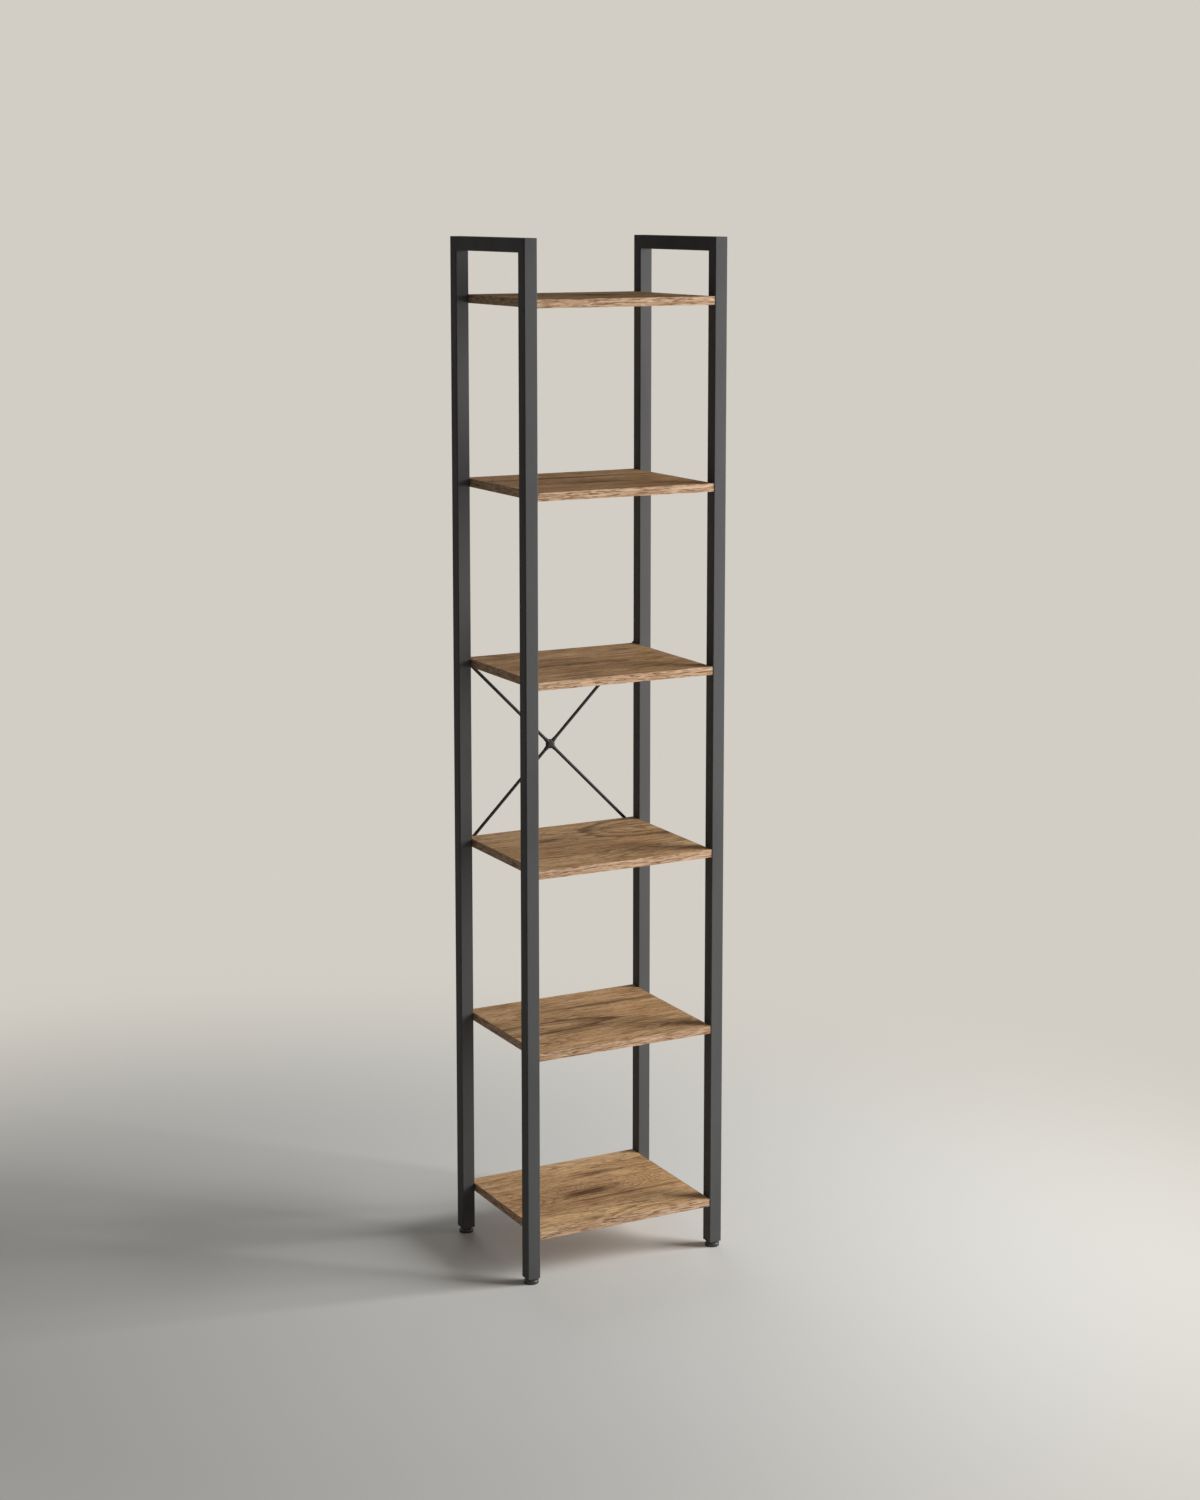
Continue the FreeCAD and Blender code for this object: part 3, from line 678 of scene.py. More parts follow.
class NodeShape:
    """A shape that Geometry Nodes make from named sizes."""

    SOCKETS: ClassVar[dict[type, str]] = {
        float: "NodeSocketFloat",
        int: "NodeSocketInt",
        Vector: "NodeSocketVector",
        Material: "NodeSocketMaterial",
    }
    # The inputs of a shape that is set out in fours
    FOUR: ClassVar[dict[str, type]] = {
        "spacing_x": float,
        "spacing_y": float,
        "turn_low": float,
        "turn_high": float,
        "seed": int,
        "middle": Vector,
    }

    def __init__(self, name: str, **inputs: type) -> None:
        """Starts an empty tree.

        Args:
            name: The tree's name.
            inputs: The kind of value that each named input takes. A finish is added to them.
        """
        self.tree = bpy.data.node_groups.new(name, "GeometryNodeTree")
        self.sockets: dict[str, str] = {}
        for label, kind in {**inputs, "finish": Material}.items():
            socket = self.tree.interface.new_socket(label, in_out="INPUT", socket_type=self.SOCKETS[kind])
            self.sockets[label] = socket.identifier
        self.tree.interface.new_socket("shape", in_out="OUTPUT", socket_type="NodeSocketGeometry")
        self.given = add(self.tree, "NodeGroupInput")

    def roll_rim(self, mesh: NodeSocket, faces: NodeSocket, size: Any, shrink: float) -> NodeSocket:
        """Gives flat end faces a chamfered rim.

        Args:
            mesh: The geometry so far.
            faces: Which faces are the ends.
            size: How high the chamfer is.
            shrink: How wide the end is inside its chamfer, as a share of its full width.

        Returns:
            The geometry with the rim.
        """
        drawn = {"Mesh": mesh, "Selection": faces, "Offset Scale": size, "Individual": False}
        higher = add(self.tree, "GeometryNodeExtrudeMesh", drawn)
        ends = {"Geometry": higher["Mesh"], "Selection": higher["Top"], "Scale": shrink}
        return add(self.tree, "GeometryNodeScaleElements", ends)["Geometry"]

    def raised(self, mesh: NodeSocket, height: NodeSocket) -> NodeSocket:
        """Lifts geometry by a height that is worked out in the tree."""
        lift = add(self.tree, VECTOR, {"Z": height})["Vector"]
        return add(self.tree, MOVE, {"Geometry": mesh, "Translation": lift})["Geometry"]

    def widened(self, mesh: NodeSocket, spot: NodeOutputs, share: NodeSocket) -> NodeSocket:
        """Moves each point of a mesh to or from the upright axis.

        Args:
            mesh: The mesh.
            spot: A point's coordinates.
            share: A point's new distance from the axis, as a share of the old one.

        Returns:
            The new mesh.
        """
        place = {axis: add(self.tree, MATH, [spot[axis], share], operation="MULTIPLY")[0] for axis in "XY"}
        moved = add(self.tree, VECTOR, {**place, "Z": spot["Z"]})["Vector"]
        return add(self.tree, "GeometryNodeSetPosition", {"Geometry": mesh, "Position": moved})["Geometry"]

    def four(self, piece: NodeSocket) -> NodeSocket:
        """Sets out four copies of a piece in a rectangle, each turned to an angle of its own.

        Args:
            piece: What is set out.

        Returns:
            The four copies, about the origin.
        """
        given = self.given
        grid = {"Size X": given["spacing_x"], "Size Y": given["spacing_y"], "Vertices X": 2, "Vertices Y": 2}
        spots = add(self.tree, "GeometryNodeMeshGrid", grid)["Mesh"]
        # The plain numbers of a Random Value node are its inputs 2 and 3 and its output 1
        limits = {2: given["turn_low"], 3: given["turn_high"], "Seed": given["seed"]}
        turn = add(self.tree, "FunctionNodeRandomValue", limits, data_type="FLOAT")[1]
        angle = add(self.tree, VECTOR, {"Z": turn})["Vector"]
        spread = {"Points": spots, "Instance": piece, "Rotation": angle}
        return add(self.tree, INSTANCES, spread)["Instances"]

    def close(self, parts: list[NodeSocket], **place: Any) -> None:
        """Joins the parts, puts them in place, makes instances real and gives them the finish.

        Args:
            parts: All the geometry that the shape shows.
            place: The translation and the rotation of the whole.
        """
        whole = add(self.tree, JOIN, {"Geometry": parts})["Geometry"]
        where = {name.capitalize(): value for name, value in place.items()}
        moved = add(self.tree, MOVE, {"Geometry": whole, **where})["Geometry"]
        real = add(self.tree, "GeometryNodeRealizeInstances", {"Geometry": moved})["Geometry"]
        coat = {"Geometry": real, "Material": self.given["finish"]}
        dressed = add(self.tree, "GeometryNodeSetMaterial", coat)["Geometry"]
        add(self.tree, "NodeGroupOutput", {"shape": dressed})

    def mesh(self, **values: Any) -> Mesh:
        """Makes the shape at one set of sizes.

        Args:
            values: A value for each named input.

        Returns:
            The shape as a plain mesh.
        """
        carrier = linked(self.tree.name, bpy.data.meshes.new(self.tree.name))
        modifier = carrier.modifiers.new(self.tree.name, "NODES")
        modifier.node_group = self.tree
        for label, value in values.items():
            modifier[self.sockets[label]] = value
        graph = bpy.context.evaluated_depsgraph_get()
        made = bpy.data.meshes.new_from_object(carrier.evaluated_get(graph), depsgraph=graph)
        carrier.modifiers.remove(modifier)
        bpy.data.objects.remove(carrier)
        return made


@dataclass(frozen=True)
class TubeEnd:
    """One end of a tube: where its middle is cut, and how the cut slopes across the tube."""

    at: float
    slope: int


@dataclass
class SideFrames:
    """The two side frames of welded square tube, with mitred top corners."""

    wall_mm: float = 1.2
    corner_mm: float = 2.0
    seam_mm: float = 0.35
    corner_steps: int = 6

    def tube(self, name: str, middle: Vector, along: Vector, across: Vector, side: float,
             ends: tuple[TubeEnd, TubeEnd]) -> Mesh:
        """Builds one hollow tube with its cut edges broken, which leaves a fine groove at a mitre.

        Args:
            name: The mesh's name.
            middle: A point on the tube's axis where the distance along it is zero.
            along: The direction of the axis.
            across: The direction in which a mitred cut slopes.
            side: The tube's width.
            ends: Its low end and its high end.

        Returns:
            The tube's mesh.
        """
        beside = across.cross(along)
        seam = self.seam_mm * MM
        corner = self.corner_mm * MM
        inside = 2 * self.wall_mm * MM

        def ring(narrower: float, end: TubeEnd, back: float) -> list[Vector]:
            """Places an outline at an end.

            Args:
                narrower: How much narrower than the tube it is.
                end: The end.
                back: How far along the axis it lies from the cut.

            Returns:
                The outline's points.
            """
            radius = corner - narrower / 2 if narrower < corner else corner / 2
            outline = rounded_square(side - narrower, radius, self.corner_steps)
            return [middle + beside * u + across * v + along * (end.at + end.slope * v + back)
                    for u, v in outline]

        low, high = ends
        bm = bmesh.new()
        loft(bm, [
            ring(2 * seam, low, 0.0),
            ring(0.0, low, seam),
            ring(0.0, high, -seam),
            ring(2 * seam, high, 0.0),
            ring(inside, high, 0.0),
            ring(inside, low, 0.0),
        ], joined=True)
        return finished(bm, name)

    def build(self, shop: Workshop) -> None:
        """Builds the uprights and top bars of both frames and shows them.

        Args:
            shop: The workshop that places them.
        """
        for side in Side:
            bar = f"{word(side)}_top_bar"
            bar_low, bar_high = corners(bar)
            width = bar_high.x - bar_low.x
            reach = (bar_high.y - bar_low.y - width) / 2
            ends = TubeEnd(-reach, End.FRONT.value), TubeEnd(reach, End.REAR.value)
            mesh = self.tube(bar, (bar_low + bar_high) / 2, BACK, UP, width, ends)
            shop.place(f"{bar}_tube", mesh, Slot.FRAME, bar)
            for end in End:
                post = f"{word(side)}_{word(end)}_upright"
                low, high = corners(post)
                foot = Vector(((low.x + high.x) / 2, (low.y + high.y) / 2, 0))
                ends = TubeEnd(low.z, 0), TubeEnd(high.z - width / 2, end.value)
                mesh = self.tube(post, foot, UP, BACK, width, ends)
                shop.place(f"{post}_tube", mesh, Slot.FRAME, post)


@dataclass
class Shelves:
    """The six shelves: boards, edge strips, cam locks and dowels."""

    count: int = 6
    strip_mm: float = 1.0
    arris_mm: float = 0.45
    arris_steps: int = 4
    cam_mm: float = 14.8
    cam_depth_mm: float = 11.9
    cam_rim_mm: float = 0.4
    cam_face: float = 0.945
    cam_steps: int = 48
    cross_length_mm: float = 9.0
    cross_width_mm: float = 1.4
    cross_depth_mm: float = 2.5
    pointer_mm: float = 1.5
    pointer_depth_mm: float = 0.5
    pointer_reach: float = 0.28
    looseness_deg: float = 9.0

    def strip_shape(self) -> NodeShape:
        """Sets up the edge strips: a rounded strip along each side of a board.

        Returns:
            The shape, with the paths of the front and left strips and the steps to the other two.
        """
        sides = ("front", "left")
        paths = {f"{side}_{part}": Vector for side in sides for part in ("start", "end", "step")}
        shape = NodeShape("Edge strips", thickness=float, height=float, arris=float, **paths)
        tree, given = shape.tree, shape.given
        size = {"Width": given["thickness"], "Height": given["height"]}
        outline = add(tree, "GeometryNodeCurvePrimitiveQuadrilateral", size)["Curve"]
        arris = {"Curve": outline, "Count": self.arris_steps, "Radius": given["arris"], "Limit Radius": True}
        rounded = add(tree, "GeometryNodeFilletCurve", arris, mode="POLY")["Curve"]
        strips = []
        for side in sides:
            ends = {"Start": given[f"{side}_start"], "End": given[f"{side}_end"]}
            path = add(tree, "GeometryNodeCurvePrimitiveLine", ends)["Curve"]
            path = add(tree, "GeometryNodeSetCurveNormal", {"Curve": path}, mode="Z_UP")["Curve"]
            drawn = {"Curve": path, "Profile Curve": rounded, "Fill Caps": True}
            strip = add(tree, "GeometryNodeCurveToMesh", drawn)["Mesh"]
            pair = add(tree, "GeometryNodeMeshLine", {"Count": 2, "Offset": given[f"{side}_step"]})["Mesh"]
            strips.append(add(tree, INSTANCES, {"Points": pair, "Instance": strip})["Instances"])
        shape.close(strips)
        return shape

    def cam_shape(self) -> NodeShape:
        """Sets up the cam locks: four round cams under a board, each with a cross slot and a pointer.

        Returns:
            The shape, with the cams' sizes and spacing and the seed of the angles they are turned to.
        """
        shape = NodeShape("Cam locks", radius=float, depth=float, rim=float, cross_one=Vector,
                          cross_two=Vector, pointer=float, pointer_depth=float, pointer_place=Vector,
                          **NodeShape.FOUR)
        tree, given = shape.tree, shape.given
        size = {"Vertices": self.cam_steps, "Radius": given["radius"], "Depth": given["depth"]}
        drum = add(tree, CYLINDER, size)
        cam = shape.roll_rim(drum["Mesh"], drum["Bottom"], given["rim"], self.cam_face)
        # The face with the slots comes to the origin, and the cam stands above it
        lift = add(tree, MATH, [given["depth"], 0.5, given["rim"]], operation="MULTIPLY_ADD")[0]
        cam = shape.raised(cam, lift)
        bars = ("cross_one", "cross_two")
        cuts = [add(tree, "GeometryNodeMeshCube", {"Size": given[bar]})["Mesh"] for bar in bars]
        size = {"Vertices": 3, "Radius": given["pointer"], "Depth": given["pointer_depth"]}
        arrow = {"Geometry": add(tree, CYLINDER, size)["Mesh"], "Translation": given["pointer_place"]}
        cuts.append(add(tree, MOVE, arrow)["Geometry"])
        slotted = add(tree, "GeometryNodeMeshBoolean", {"Mesh 1": cam, "Mesh 2": cuts}, **CUT)["Mesh"]
        shape.close([shape.four(slotted)], translation=given["middle"])
        return shape

    def build(self, shop: Workshop) -> None:
        """Dresses the boards and dowels, and builds the edge strips and cam locks.

        Args:
            shop: The workshop that places them.
        """
        strips, cams = self.strip_shape(), self.cam_shape()
        strip, cam, rim = self.strip_mm * MM, self.cam_mm * MM, self.cam_rim_mm * MM
        long, wide, deep = self.cross_length_mm * MM, self.cross_width_mm * MM, 2 * self.cross_depth_mm * MM
        looseness = math.radians(self.looseness_deg)
        for level in range(1, self.count + 1):
            name = f"shelf_{level}"
            shop.dress(f"{name}_board", Slot.BOARD)
            shop.dress(f"{name}_cam_dowels", Slot.ZINC)
            low, high = corners(f"{name}_edging")
            front, left, middle = low.y + strip / 2, low.x + strip / 2, (low.z + high.z) / 2
            mesh = strips.mesh(
                finish=shop.materials[Slot.EDGE],
                thickness=strip,
                height=high.z - low.z,
                arris=self.arris_mm * MM,
                front_start=(low.x, front, middle),
                front_end=(high.x, front, middle),
                front_step=(0.0, high.y - low.y - strip, 0.0),
                left_start=(left, low.y + strip, middle),
                left_end=(left, high.y - strip, middle),
                left_step=(high.x - low.x - strip, 0.0, 0.0),
            )
            shop.place(f"{name}_edge_strips", mesh, Slot.EDGE, f"{name}_edging")
            low, high = corners(f"{name}_cam_locks")
            mesh = cams.mesh(
                finish=shop.materials[Slot.CAM],
                radius=cam / 2,
                depth=self.cam_depth_mm * MM - rim,
                rim=rim,
                cross_one=(long, wide, deep),
                cross_two=(wide, long, deep),
                pointer=self.pointer_mm * MM,
                pointer_depth=2 * self.pointer_depth_mm * MM,
                pointer_place=(cam * self.pointer_reach, cam * self.pointer_reach, 0.0),
                spacing_x=high.x - low.x - cam,
                spacing_y=high.y - low.y - cam,
                turn_low=-looseness,
                turn_high=looseness,
                seed=level,
                middle=((low.x + high.x) / 2, (low.y + high.y) / 2, low.z),
            )
            shop.place(f"{name}_cams", mesh, Slot.CAM, f"{name}_cam_locks")


@dataclass
class CrossBrace:
    """The cross brace: four rods with pressed eyelets, the hub that they meet in, and their screws."""

    rod_mm: float = 6.0
    neck_mm: float = 8.5
    eyelet_mm: float = 14.0
    eyelet_thickness_mm: float = 2.5
    eyelet_fullness: float = 6.0
    eyelet_tip: float = 0.05
    flattening_mm: float = 14.0
    bends: int = 40
    grip_mm: float = 4.0
    collar_mm: float = 8.2
    collar_end_mm: float = 16.5
    collar_root: float = 0.97
    collar_waist: Pair = (0.78, 1.2)
    collar_lip: float = 1.02
    hub_fullness: float = 2.6
    hub_rings: int = 16
    hub_steps: int = 48
    head_mm: float = 9.5
    head_height_mm: float = 2.75
    head_steps: int = 48
    dome_rows: int = 9
    dome_power: float = 2.4
    dome_share: float = 0.72
    shank_mm: float = 5.0
    shank_length_mm: float = 10.0
    shank_steps: int = 24
    shank_seat: float = 0.98
    key_mm: float = 3.0
    key_depth_mm: float = 1.5
    screw_seed: int = 3
    round_steps: int = 28

    def rod(self, name: str, hub: Vector, eye: Vector) -> Mesh:
        """Builds one rod, which flattens smoothly from a round bar to an eyelet.

        Args:
            name: The mesh's name.
            hub: The middle of the hub.
            eye: The middle of the eyelet.

        Returns:
            The rod's mesh.
        """
        run = Vector((eye.x - hub.x, 0, eye.z - hub.z))
        length, along = run.length, run.normalized()
        beside = along.cross(BACK)
        radius, disc = self.rod_mm * MM / 2, self.eyelet_mm * MM / 2
        neck, thin = self.neck_mm * MM / 2, self.eyelet_thickness_mm * MM / 2
        flattening = self.flattening_mm * MM
        start = length - disc - flattening

        def section(distance: float) -> list[Vector]:
            """Draws the rod's outline at a distance from the hub.

            Args:
                distance: The distance along the rod.

            Returns:
                The outline's points.
            """
            share = min(max((distance - start) / flattening, 0.0), 1.0)
            flat = share * share * (3 - 2 * share)
            bar = radius + (neck - radius) * flat
            round_end = math.sqrt(max(disc ** 2 - (distance - length) ** 2, 0.0))
            wide = max(bar, round_end) if distance < length else max(round_end, disc * self.eyelet_tip)
            thick = radius + (thin - radius) * flat
            power = 2 / (2 + (self.eyelet_fullness - 2) * flat)
            middle = hub + along * distance + BACK * (eye.y - hub.y) * flat
            return [middle + beside * wide * fuller(math.cos(a), power)
                    + BACK * thick * fuller(math.sin(a), power) for a in angles(self.round_steps)]

        stops = [self.grip_mm * MM, start / 2]
        stops += [start + flattening * i / self.bends for i in range(self.bends)]
        stops += [length - disc * math.cos(math.pi * i / self.bends) for i in range(self.bends + 1)]
        bm = bmesh.new()
        loft(bm, [section(stop) for stop in stops])
        return finished(bm, name)

    def hub(self, name: str, low: Vector, high: Vector, eyes: list[Vector]) -> Mesh:
        """Builds the hub: a pillow-shaped disc with a short tapered collar round each rod.

        Args:
            name: The mesh's name.
            low: The lowest corner of the hub's CAD node.
            high: The highest corner.
            eyes: The middles of the eyelets that the rods lead to.

        Returns:
            The hub's mesh.
        """
        middle, half = (low + high) / 2, (high - low) / 2
        power = 2 / self.hub_fullness
        bm = bmesh.new()
        rings = []
        for i in range(1, self.hub_rings):
            angle = math.pi * (i / self.hub_rings - 0.5)
            centre = middle + BACK * half.y * fuller(math.sin(angle), power)
            rings.append(circle(centre, RIGHT, UP, half.x * math.cos(angle) ** power, self.hub_steps))
        loft(bm, rings)
        collar, rod, end = self.collar_mm * MM / 2, self.rod_mm * MM / 2, self.collar_end_mm * MM
        waist, width = self.collar_waist
        profile = (
            (self.grip_mm * MM, collar),
            (half.x, collar * self.collar_root),
            (end * waist, rod * width),
            (end, rod * self.collar_lip),
        )
        for eye in eyes:
            along = Vector((eye.x - middle.x, 0, eye.z - middle.z)).normalized()
            loft(bm, [circle(middle + along * far, BACK, along.cross(BACK), radius, self.round_steps)
                      for far, radius in profile])
        return finished(bm, name)

    def screw_shape(self) -> NodeShape:
        """Sets up the four brace screws, each with a domed head, a hexagon socket and a shank.

        Returns:
            The shape, with the screws' sizes and spacing and the seed of the angles they are turned to.
        """
        shape = NodeShape("Brace screws", head=float, head_height=float, head_low=float, head_high=float,
                          key=float, key_depth=float, shank=float, shank_length=float, shank_middle=float,
                          **NodeShape.FOUR)
        tree, given = shape.tree, shape.given
        size = {"Vertices": self.head_steps, "Side Segments": self.dome_rows, "Radius": given["head"],
                "Depth": given["head_height"]}
        drum = add(tree, CYLINDER, size)["Mesh"]
        spot = add(tree, "ShaderNodeSeparateXYZ", [add(tree, "GeometryNodeInputPosition")[0]])
        rise = {"Value": spot["Z"], "From Min": given["head_low"], "From Max": given["head_high"]}
        # The dome is part of an ellipse: as wide as the head below, and about half as wide on top
        inward = add(tree, MATH, [add(tree, RANGE, rise)["Result"], self.dome_power], operation="POWER")[0]
        inward = add(tree, MATH, [inward, -self.dome_share, 1.0], operation="MULTIPLY_ADD")[0]
        head = shape.widened(drum, spot, add(tree, MATH, [inward], operation="SQRT")[0])
        size = {"Vertices": 6, "Radius": given["key"], "Depth": given["key_depth"]}
        socket = shape.raised(add(tree, CYLINDER, size)["Mesh"], given["head_high"])
        head = add(tree, "GeometryNodeMeshBoolean", {"Mesh 1": head, "Mesh 2": socket}, **CUT)["Mesh"]
        size = {"Vertices": self.shank_steps, "Radius": given["shank"], "Depth": given["shank_length"]}
        shank = shape.raised(add(tree, CYLINDER, size)["Mesh"], given["shank_middle"])
        screw = add(tree, JOIN, {"Geometry": [head, shank]})["Geometry"]
        # The screws are set out flat, then stood up so that their heads face the rear
        shape.close([shape.four(screw)], rotation=(-math.pi / 2, 0.0, 0.0), translation=given["middle"])
        return shape

    def build(self, shop: Workshop) -> None:
        """Builds the rods, the hub and the screws and shows them.

        Args:
            shop: The workshop that places them.
        """
        hub_low, hub_high = corners("brace_hub")
        hub = (hub_low + hub_high) / 2
        low, high = corners("brace_screws")
        head, head_height, shank = self.head_mm * MM, self.head_height_mm * MM, self.shank_length_mm * MM
        reach_x, reach_z = (high.x - low.x - head) / 2, (high.z - low.z - head) / 2
        eye_y = high.y - head_height - self.eyelet_thickness_mm * MM / 2
        eyes = []
        # The rods and hub take a darker copy of the frame's coat, which paints shade into their colour
        black = SHADED_ROD_COAT.material()
        for height in Height:
            for side in Side:
                node = f"{word(height)}_{word(side)}_brace_rod"
                eye = Vector((side.value * reach_x, eye_y, (low.z + high.z) / 2 + height.value * reach_z))
                eyes.append(eye)
                shop.place(f"{node}_bar", self.rod(node, hub, eye), Slot.FRAME, node, shade=black)
        boss = self.hub("brace_hub", hub_low, hub_high, eyes)
        shop.place("brace_hub_boss", boss, Slot.FRAME, "brace_hub", shade=black)
        mesh = self.screw_shape().mesh(
            finish=shop.materials[Slot.SCREW],
            head=head / 2,
            head_height=head_height,
            head_low=-head_height / 2,
            head_high=head_height / 2,
            key=self.key_mm * MM / math.sqrt(3),
            key_depth=2 * self.key_depth_mm * MM,
            shank=self.shank_mm * MM / 2,
            shank_length=shank,
            shank_middle=-self.shank_seat * (shank + head_height) / 2,
            spacing_x=2 * reach_x,
            spacing_y=2 * reach_z,
            turn_low=0.0,
            turn_high=math.pi / 3,
            seed=self.screw_seed,
            middle=(0.0, high.y - head_height / 2, (low.z + high.z) / 2),
        )
        shop.place("brace_button_screws", mesh, Slot.SCREW, "brace_screws")


@dataclass
class LevellingFeet:
    """The four levelling feet: a pad on a threaded stud that screws into a nut in a plug."""

    # How many sides each of a stud's drums has
    SIDES: ClassVar[dict[str, int]] = {"thread": 40, "collar": 6, "neck": 32, "flange": 40}

    thread_mm: float = 8.0
    pitch_mm: float = 1.25
    thread_depth_mm: float = 0.7
    flank: Pair = (0.1, 0.42)
    rows_in_turn: int = 8
    collar_mm: float = 13.0
    collar_rim_mm: float = 0.4
    collar_face: float = 0.93
    collar_z_mm: Pair = (7.0, 10.0)
    neck_mm: float = 6.0
    flange_mm: float = 10.0
    flange_z_mm: Pair = (2.1, 4.1)
    rim_mm: float = 2.0
    base_edge_mm: float = 0.8
    crown_mm: float = 0.3
    mouth_mm: float = 6.6
    mouth_middle: float = 0.1
    pad_floor_mm: float = 2.0
    skirt_mm: float = 23.0
    skirt_bore_mm: float = 16.4
    skirt_height_mm: float = 2.5
    rim_steps: int = 8
    round_steps: int = 64

    def pad(self, name: str, low: Vector, high: Vector) -> Mesh:
        """Builds a pad: a round foot with a rolled upper rim, and a low skirt round the stud's collar.

        Args:
            name: The mesh's name.
            low: The lowest corner of the pad's CAD node.
            high: The highest corner.

        Returns:
            The pad's mesh.
        """
        radius, top = (high.x - low.x) / 2, high.z - low.z
        rim, edge, crown = self.rim_mm * MM, self.base_edge_mm * MM, self.crown_mm * MM
        mouth, skirt, bore = (size * MM / 2 for size in (self.mouth_mm, self.skirt_mm, self.skirt_bore_mm))
        brim, floor, hole = top + self.skirt_height_mm * MM, self.pad_floor_mm * MM, mouth * self.mouth_middle
        profile = [(hole, 0.0), (mouth, 0.0)]
        for size, height, first in ((edge, edge, -90), (rim, top - rim, 0)):
            for step in range(self.rim_steps + 1):
                angle = math.radians(first + 90 * step / self.rim_steps)
                profile.append((radius - size + size * math.cos(angle), height + size * math.sin(angle)))
        profile += [(skirt + crown, top), (skirt, top + crown), (skirt, brim - crown), (skirt - crown, brim)]
        profile += [(bore + crown, brim), (bore, brim - crown), (bore, top)]
        profile += [(mouth + crown, top), (mouth, top - crown), (mouth, floor), (hole, floor)]
        middle = Vector(((low.x + high.x) / 2, (low.y + high.y) / 2, low.z))
        bm = bmesh.new()
        loft(bm, [circle(middle + UP * z, RIGHT, BACK, r, self.round_steps) for r, z in profile])
        return finished(bm, name)

    def threaded(self, shape: NodeShape, blank: NodeSocket) -> NodeSocket:
        """Winds a right-hand thread on a stud, which runs out at the top.

        Args:
            shape: The stud's shape.
            blank: A drum as thick as the thread's root.

        Returns:
            The threaded geometry.
        """
        tree, given = shape.tree, shape.given
        spot = add(tree, "ShaderNodeSeparateXYZ", [add(tree, "GeometryNodeInputPosition")[0]])
        angle = add(tree, MATH, [spot["Y"], spot["X"]], operation="ARCTAN2")[0]
        turns = add(tree, MATH, [angle, 2 * math.pi], operation="DIVIDE")[0]
        climb = add(tree, MATH, [spot["Z"], given["pitch"]], operation="DIVIDE")[0]
        phase = add(tree, MATH, [climb, turns], operation="SUBTRACT")[0]
        root, crest = self.flank
        flank = {"Value": add(tree, MATH, [phase, 0.5], operation="PINGPONG")[0], "From Min": root,
                 "From Max": crest}
        runout = {"Value": spot["Z"], "From Min": given["thread_top"], "From Max": given["runout"]}
        slopes = [add(tree, RANGE, slope)["Result"] for slope in (flank, runout)]
        ridge = add(tree, MATH, slopes, operation="MULTIPLY")[0]
        share = add(tree, MATH, [ridge, given["thread_share"], 1.0], operation="MULTIPLY_ADD")[0]
        return shape.widened(blank, spot, share)

    def stud_shape(self) -> NodeShape:
        """Sets up a stud: a right-hand thread, a hexagon collar, a neck and the flange inside the pad.

        Returns:
            The shape, with the stud's sizes and place.
        """
        sizes = {f"{part}_{size}": float for part in self.SIDES for size in ("radius", "length", "middle")}
        shape = NodeShape("Levelling stud", rows=int, pitch=float, thread_share=float, thread_top=float,
                          runout=float, rim=float, middle=Vector, **sizes)
        tree, given = shape.tree, shape.given
        parts = []
        for part, sides in self.SIDES.items():
            size = {"Vertices": sides, "Radius": given[f"{part}_radius"], "Depth": given[f"{part}_length"]}
            if part == "thread":
                size["Side Segments"] = given["rows"]
            drum = add(tree, CYLINDER, size)
            mesh = drum["Mesh"]
            for face in ("Top", "Bottom") if part == "collar" else ():
                mesh = shape.roll_rim(mesh, drum[face], given["rim"], self.collar_face)
            mesh = shape.raised(mesh, given[f"{part}_middle"])
            parts.append(self.threaded(shape, mesh) if part == "thread" else mesh)
        shape.close(parts, translation=given["middle"])
        return shape

    def build(self, shop: Workshop) -> None:
        """Builds the pads and studs, and dresses the plugs and nuts.

        Args:
            shop: The workshop that places them.
        """
        studs = self.stud_shape()
        shop.dress("foot_nuts", Slot.ZINC)
        rim, pitch, depth = self.collar_rim_mm * MM, self.pitch_mm * MM, self.thread_depth_mm * MM
        root = self.thread_mm * MM / 2 - depth
        collar_low, collar_high = (z * MM for z in self.collar_z_mm)
        flange_low, flange_high = (z * MM for z in self.flange_z_mm)
        for end in End:
            for side in Side:
                foot = f"{word(end)}_{word(side)}"
                shop.dress(f"{foot}_foot_insert", Slot.NYLON)
                low, high = corners(f"{foot}_foot_pad")
                mesh = self.pad(f"{foot}_pad", low, high)
                shop.place(f"{foot}_pad_moulding", mesh, Slot.NYLON, f"{foot}_foot_pad", f"{foot}_pad")
                low, high = corners(f"{foot}_foot_stud")
                drums = {
                    "thread": (root, collar_high - rim, high.z),
                    "collar": (self.collar_mm * MM / math.sqrt(3), collar_low + rim, collar_high - rim),
                    "neck": (self.neck_mm * MM / 2, flange_low, collar_low),
                    "flange": (self.flange_mm * MM / 2, flange_low, flange_high),
                }
                sizes = {}
                for part, (radius, bottom, top) in drums.items():
                    sizes[f"{part}_radius"] = radius
                    sizes[f"{part}_length"] = top - bottom
                    sizes[f"{part}_middle"] = (bottom + top) / 2
                mesh = studs.mesh(
                    finish=shop.materials[Slot.ZINC],
                    rows=self.rows_in_turn * round((high.z - collar_high) / pitch),
                    pitch=pitch,
                    thread_share=depth / root,
                    thread_top=high.z,
                    runout=high.z - pitch,
                    rim=rim,
                    middle=((low.x + high.x) / 2, (low.y + high.y) / 2, 0.0),
                    **sizes,
                )
                shop.place(f"{foot}_stud_thread", mesh, Slot.ZINC, f"{foot}_foot_stud", f"{foot}_stud")


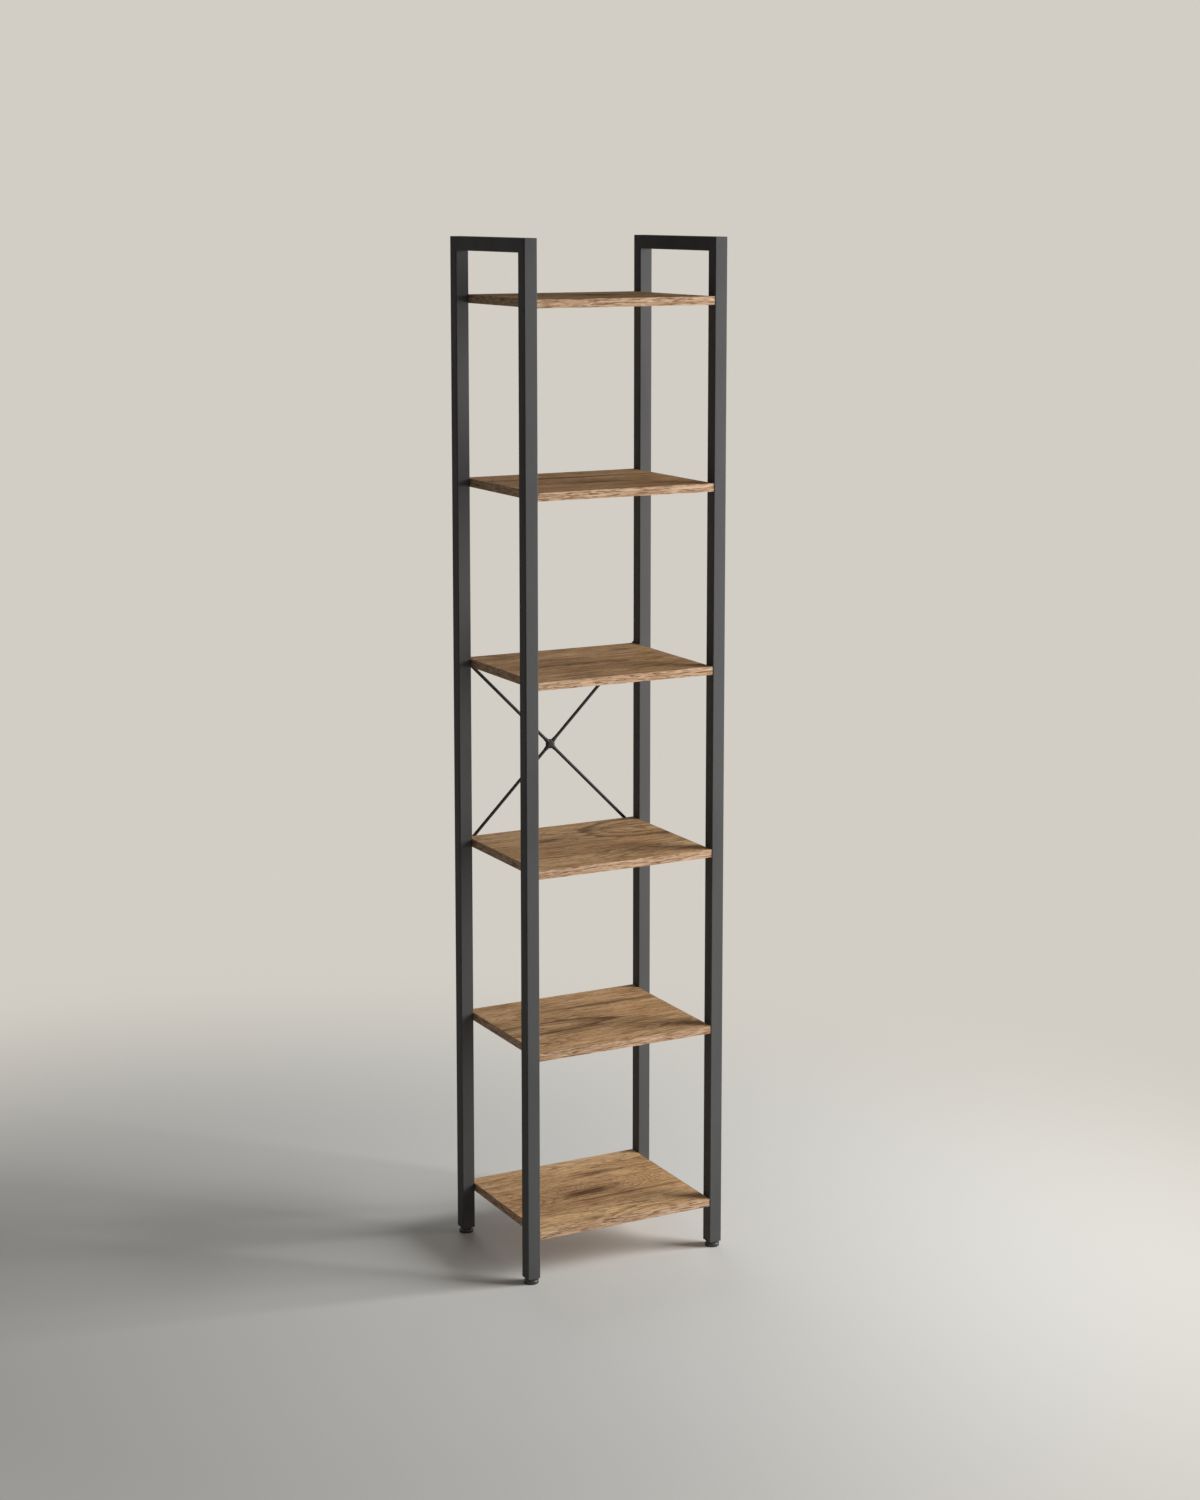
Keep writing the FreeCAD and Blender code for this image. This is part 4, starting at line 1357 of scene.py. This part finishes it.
@dataclass
class Studio:
    """A pale floor that runs into a pale backdrop, soft light from the front right, and the camera."""

    floor_colour: str = "#D6D5D1"
    backdrop_colour: str = "#D3CEC5"
    floor_radius: float = 60.0
    floor_steps: int = 96
    fade_middle: Triple = (-0.45, 0.0, 0.0)
    fade_starts: float = 0.7
    fade_ends: float = 2.2
    ambient: float = 0.13
    window_place: Triple = (2.77, -1.6, 1.55)
    window_size: Pair = (1.7, 2.4)
    window_watts: float = 215.0
    rear_place: Triple = (0.8, 3.0, 1.0)
    rear_size: Pair = (2.0, 1.6)
    rear_watts: float = 35.0
    camera_place: Triple = (-2.2288, -4.2579, 1.9238)
    camera_yaw_deg: float = 27.8905
    camera_pitch_deg: float = 8.1578
    lens_mm: float = 64.459
    camera_rise: float = -0.11

    def seen(self, tree: NodeTree) -> NodeSocket:
        """Tells the rays that see the backdrop from those that only gather light.

        Args:
            tree: The nodes of the floor or the world.

        Returns:
            One for a ray from the camera, or through glass or off a shiny surface, and zero for the rest.
        """
        rays = add(tree, "ShaderNodeLightPath")
        shiny = add(tree, MATH, [rays["Is Glossy Ray"], rays["Is Transmission Ray"]], operation="MAXIMUM")[0]
        return add(tree, MATH, [rays["Is Camera Ray"], shiny], operation="MAXIMUM")[0]

    def floor(self, pads: list[Object]) -> None:
        """Lays the floor, which far from the bookcase takes on the backdrop's colour.

        Args:
            pads: The feet's pads. The floor stays below the lowest, so that a foot that is turned out shows.
        """
        made = bpy.data.materials.new("Pale painted studio floor")
        tree = emptied(made)
        where = add(tree, "ShaderNodeTexCoord")["Object"]
        far = add(tree, "ShaderNodeVectorMath", [where, self.fade_middle], operation="DISTANCE")["Value"]
        limits = {"Value": far, "From Min": self.fade_starts, "From Max": self.fade_ends}
        fade = add(tree, RANGE, limits, interpolation_type="SMOOTHSTEP")["Result"]
        share = add(tree, MATH, [fade, self.seen(tree)], operation="MULTIPLY")[0]
        paint = add(tree, "ShaderNodeBsdfDiffuse", {"Color": linear(self.floor_colour)})["BSDF"]
        glow = add(tree, "ShaderNodeEmission", {"Color": linear(self.backdrop_colour)})["Emission"]
        mixed = add(tree, "ShaderNodeMixShader", [share, paint, glow])["Shader"]
        add(tree, "ShaderNodeOutputMaterial", {"Surface": mixed})
        bm = bmesh.new()
        bmesh.ops.create_circle(bm, cap_ends=True, segments=self.floor_steps, radius=self.floor_radius)
        mesh = finished(bm, "studio_floor")
        mesh.materials.append(made)
        floor = linked("studio_floor", mesh)
        for pad in pads:
            under = floor.constraints.new("FLOOR")
            under.target = pad
            under.floor_location = "FLOOR_NEGATIVE_Z"

    def backdrop(self) -> None:
        """Gives the world a pale backdrop that is seen and a weaker soft light that is cast."""
        world = bpy.data.worlds.new("Studio")
        tree = emptied(world)
        light = add(tree, "ShaderNodeBackground", {"Strength": self.ambient})["Background"]
        wall = add(tree, "ShaderNodeBackground", {"Color": linear(self.backdrop_colour)})["Background"]
        mixed = add(tree, "ShaderNodeMixShader", [self.seen(tree), light, wall])["Shader"]
        add(tree, "ShaderNodeOutputWorld", {"Surface": mixed})
        bpy.context.scene.world = world

    def lamp(self, name: str, place: Triple, size: Pair, watts: float) -> None:
        """Stands a tall soft light in the studio, facing the bookcase.

        Args:
            name: The light's name.
            place: The middle of its panel.
            size: The panel's width and height.
            watts: Its power.
        """
        light = bpy.data.lights.new(name, "AREA")
        light.shape = "RECTANGLE"
        light.size, light.size_y = size
        light.energy = watts
        holder = linked(name, light)
        holder.location = place
        facing = Vector((-place[0], -place[1], 0))
        holder.rotation_euler = facing.to_track_quat("-Z", "Y").to_euler()
        holder.visible_camera = False

    def camera(self) -> None:
        """Sets the camera at the photograph's viewing angle."""
        lens = bpy.data.cameras.new("Photograph")
        lens.lens = self.lens_mm
        lens.shift_y = self.camera_rise
        holder = linked("Photograph", lens)
        holder.location = self.camera_place
        tilt, turn = math.radians(90 - self.camera_pitch_deg), math.radians(-self.camera_yaw_deg)
        holder.rotation_euler = (tilt, 0, turn)
        bpy.context.scene.camera = holder

    def build(self, pads: list[Object]) -> None:
        """Builds the whole studio.

        Args:
            pads: The pads that the bookcase stands on.
        """
        bpy.context.scene.view_settings.view_transform = "Standard"
        self.floor(pads)
        self.backdrop()
        self.lamp("Window", self.window_place, self.window_size, self.window_watts)
        self.lamp("Rear fill", self.rear_place, self.rear_size, self.rear_watts)
        self.camera()


def main() -> None:
    logging.basicConfig(level=logging.INFO, format="%(name)s: %(message)s")
    shop = Workshop()
    for assembly in (SideFrames(), Shelves(), CrossBrace(), LevellingFeet()):
        assembly.build(shop)
    pads = [f"{word(end)}_{word(side)}_pad_moulding" for end in End for side in Side]
    Studio().build([bpy.data.objects[pad] for pad in pads])


if __name__ == "__main__":
    main()
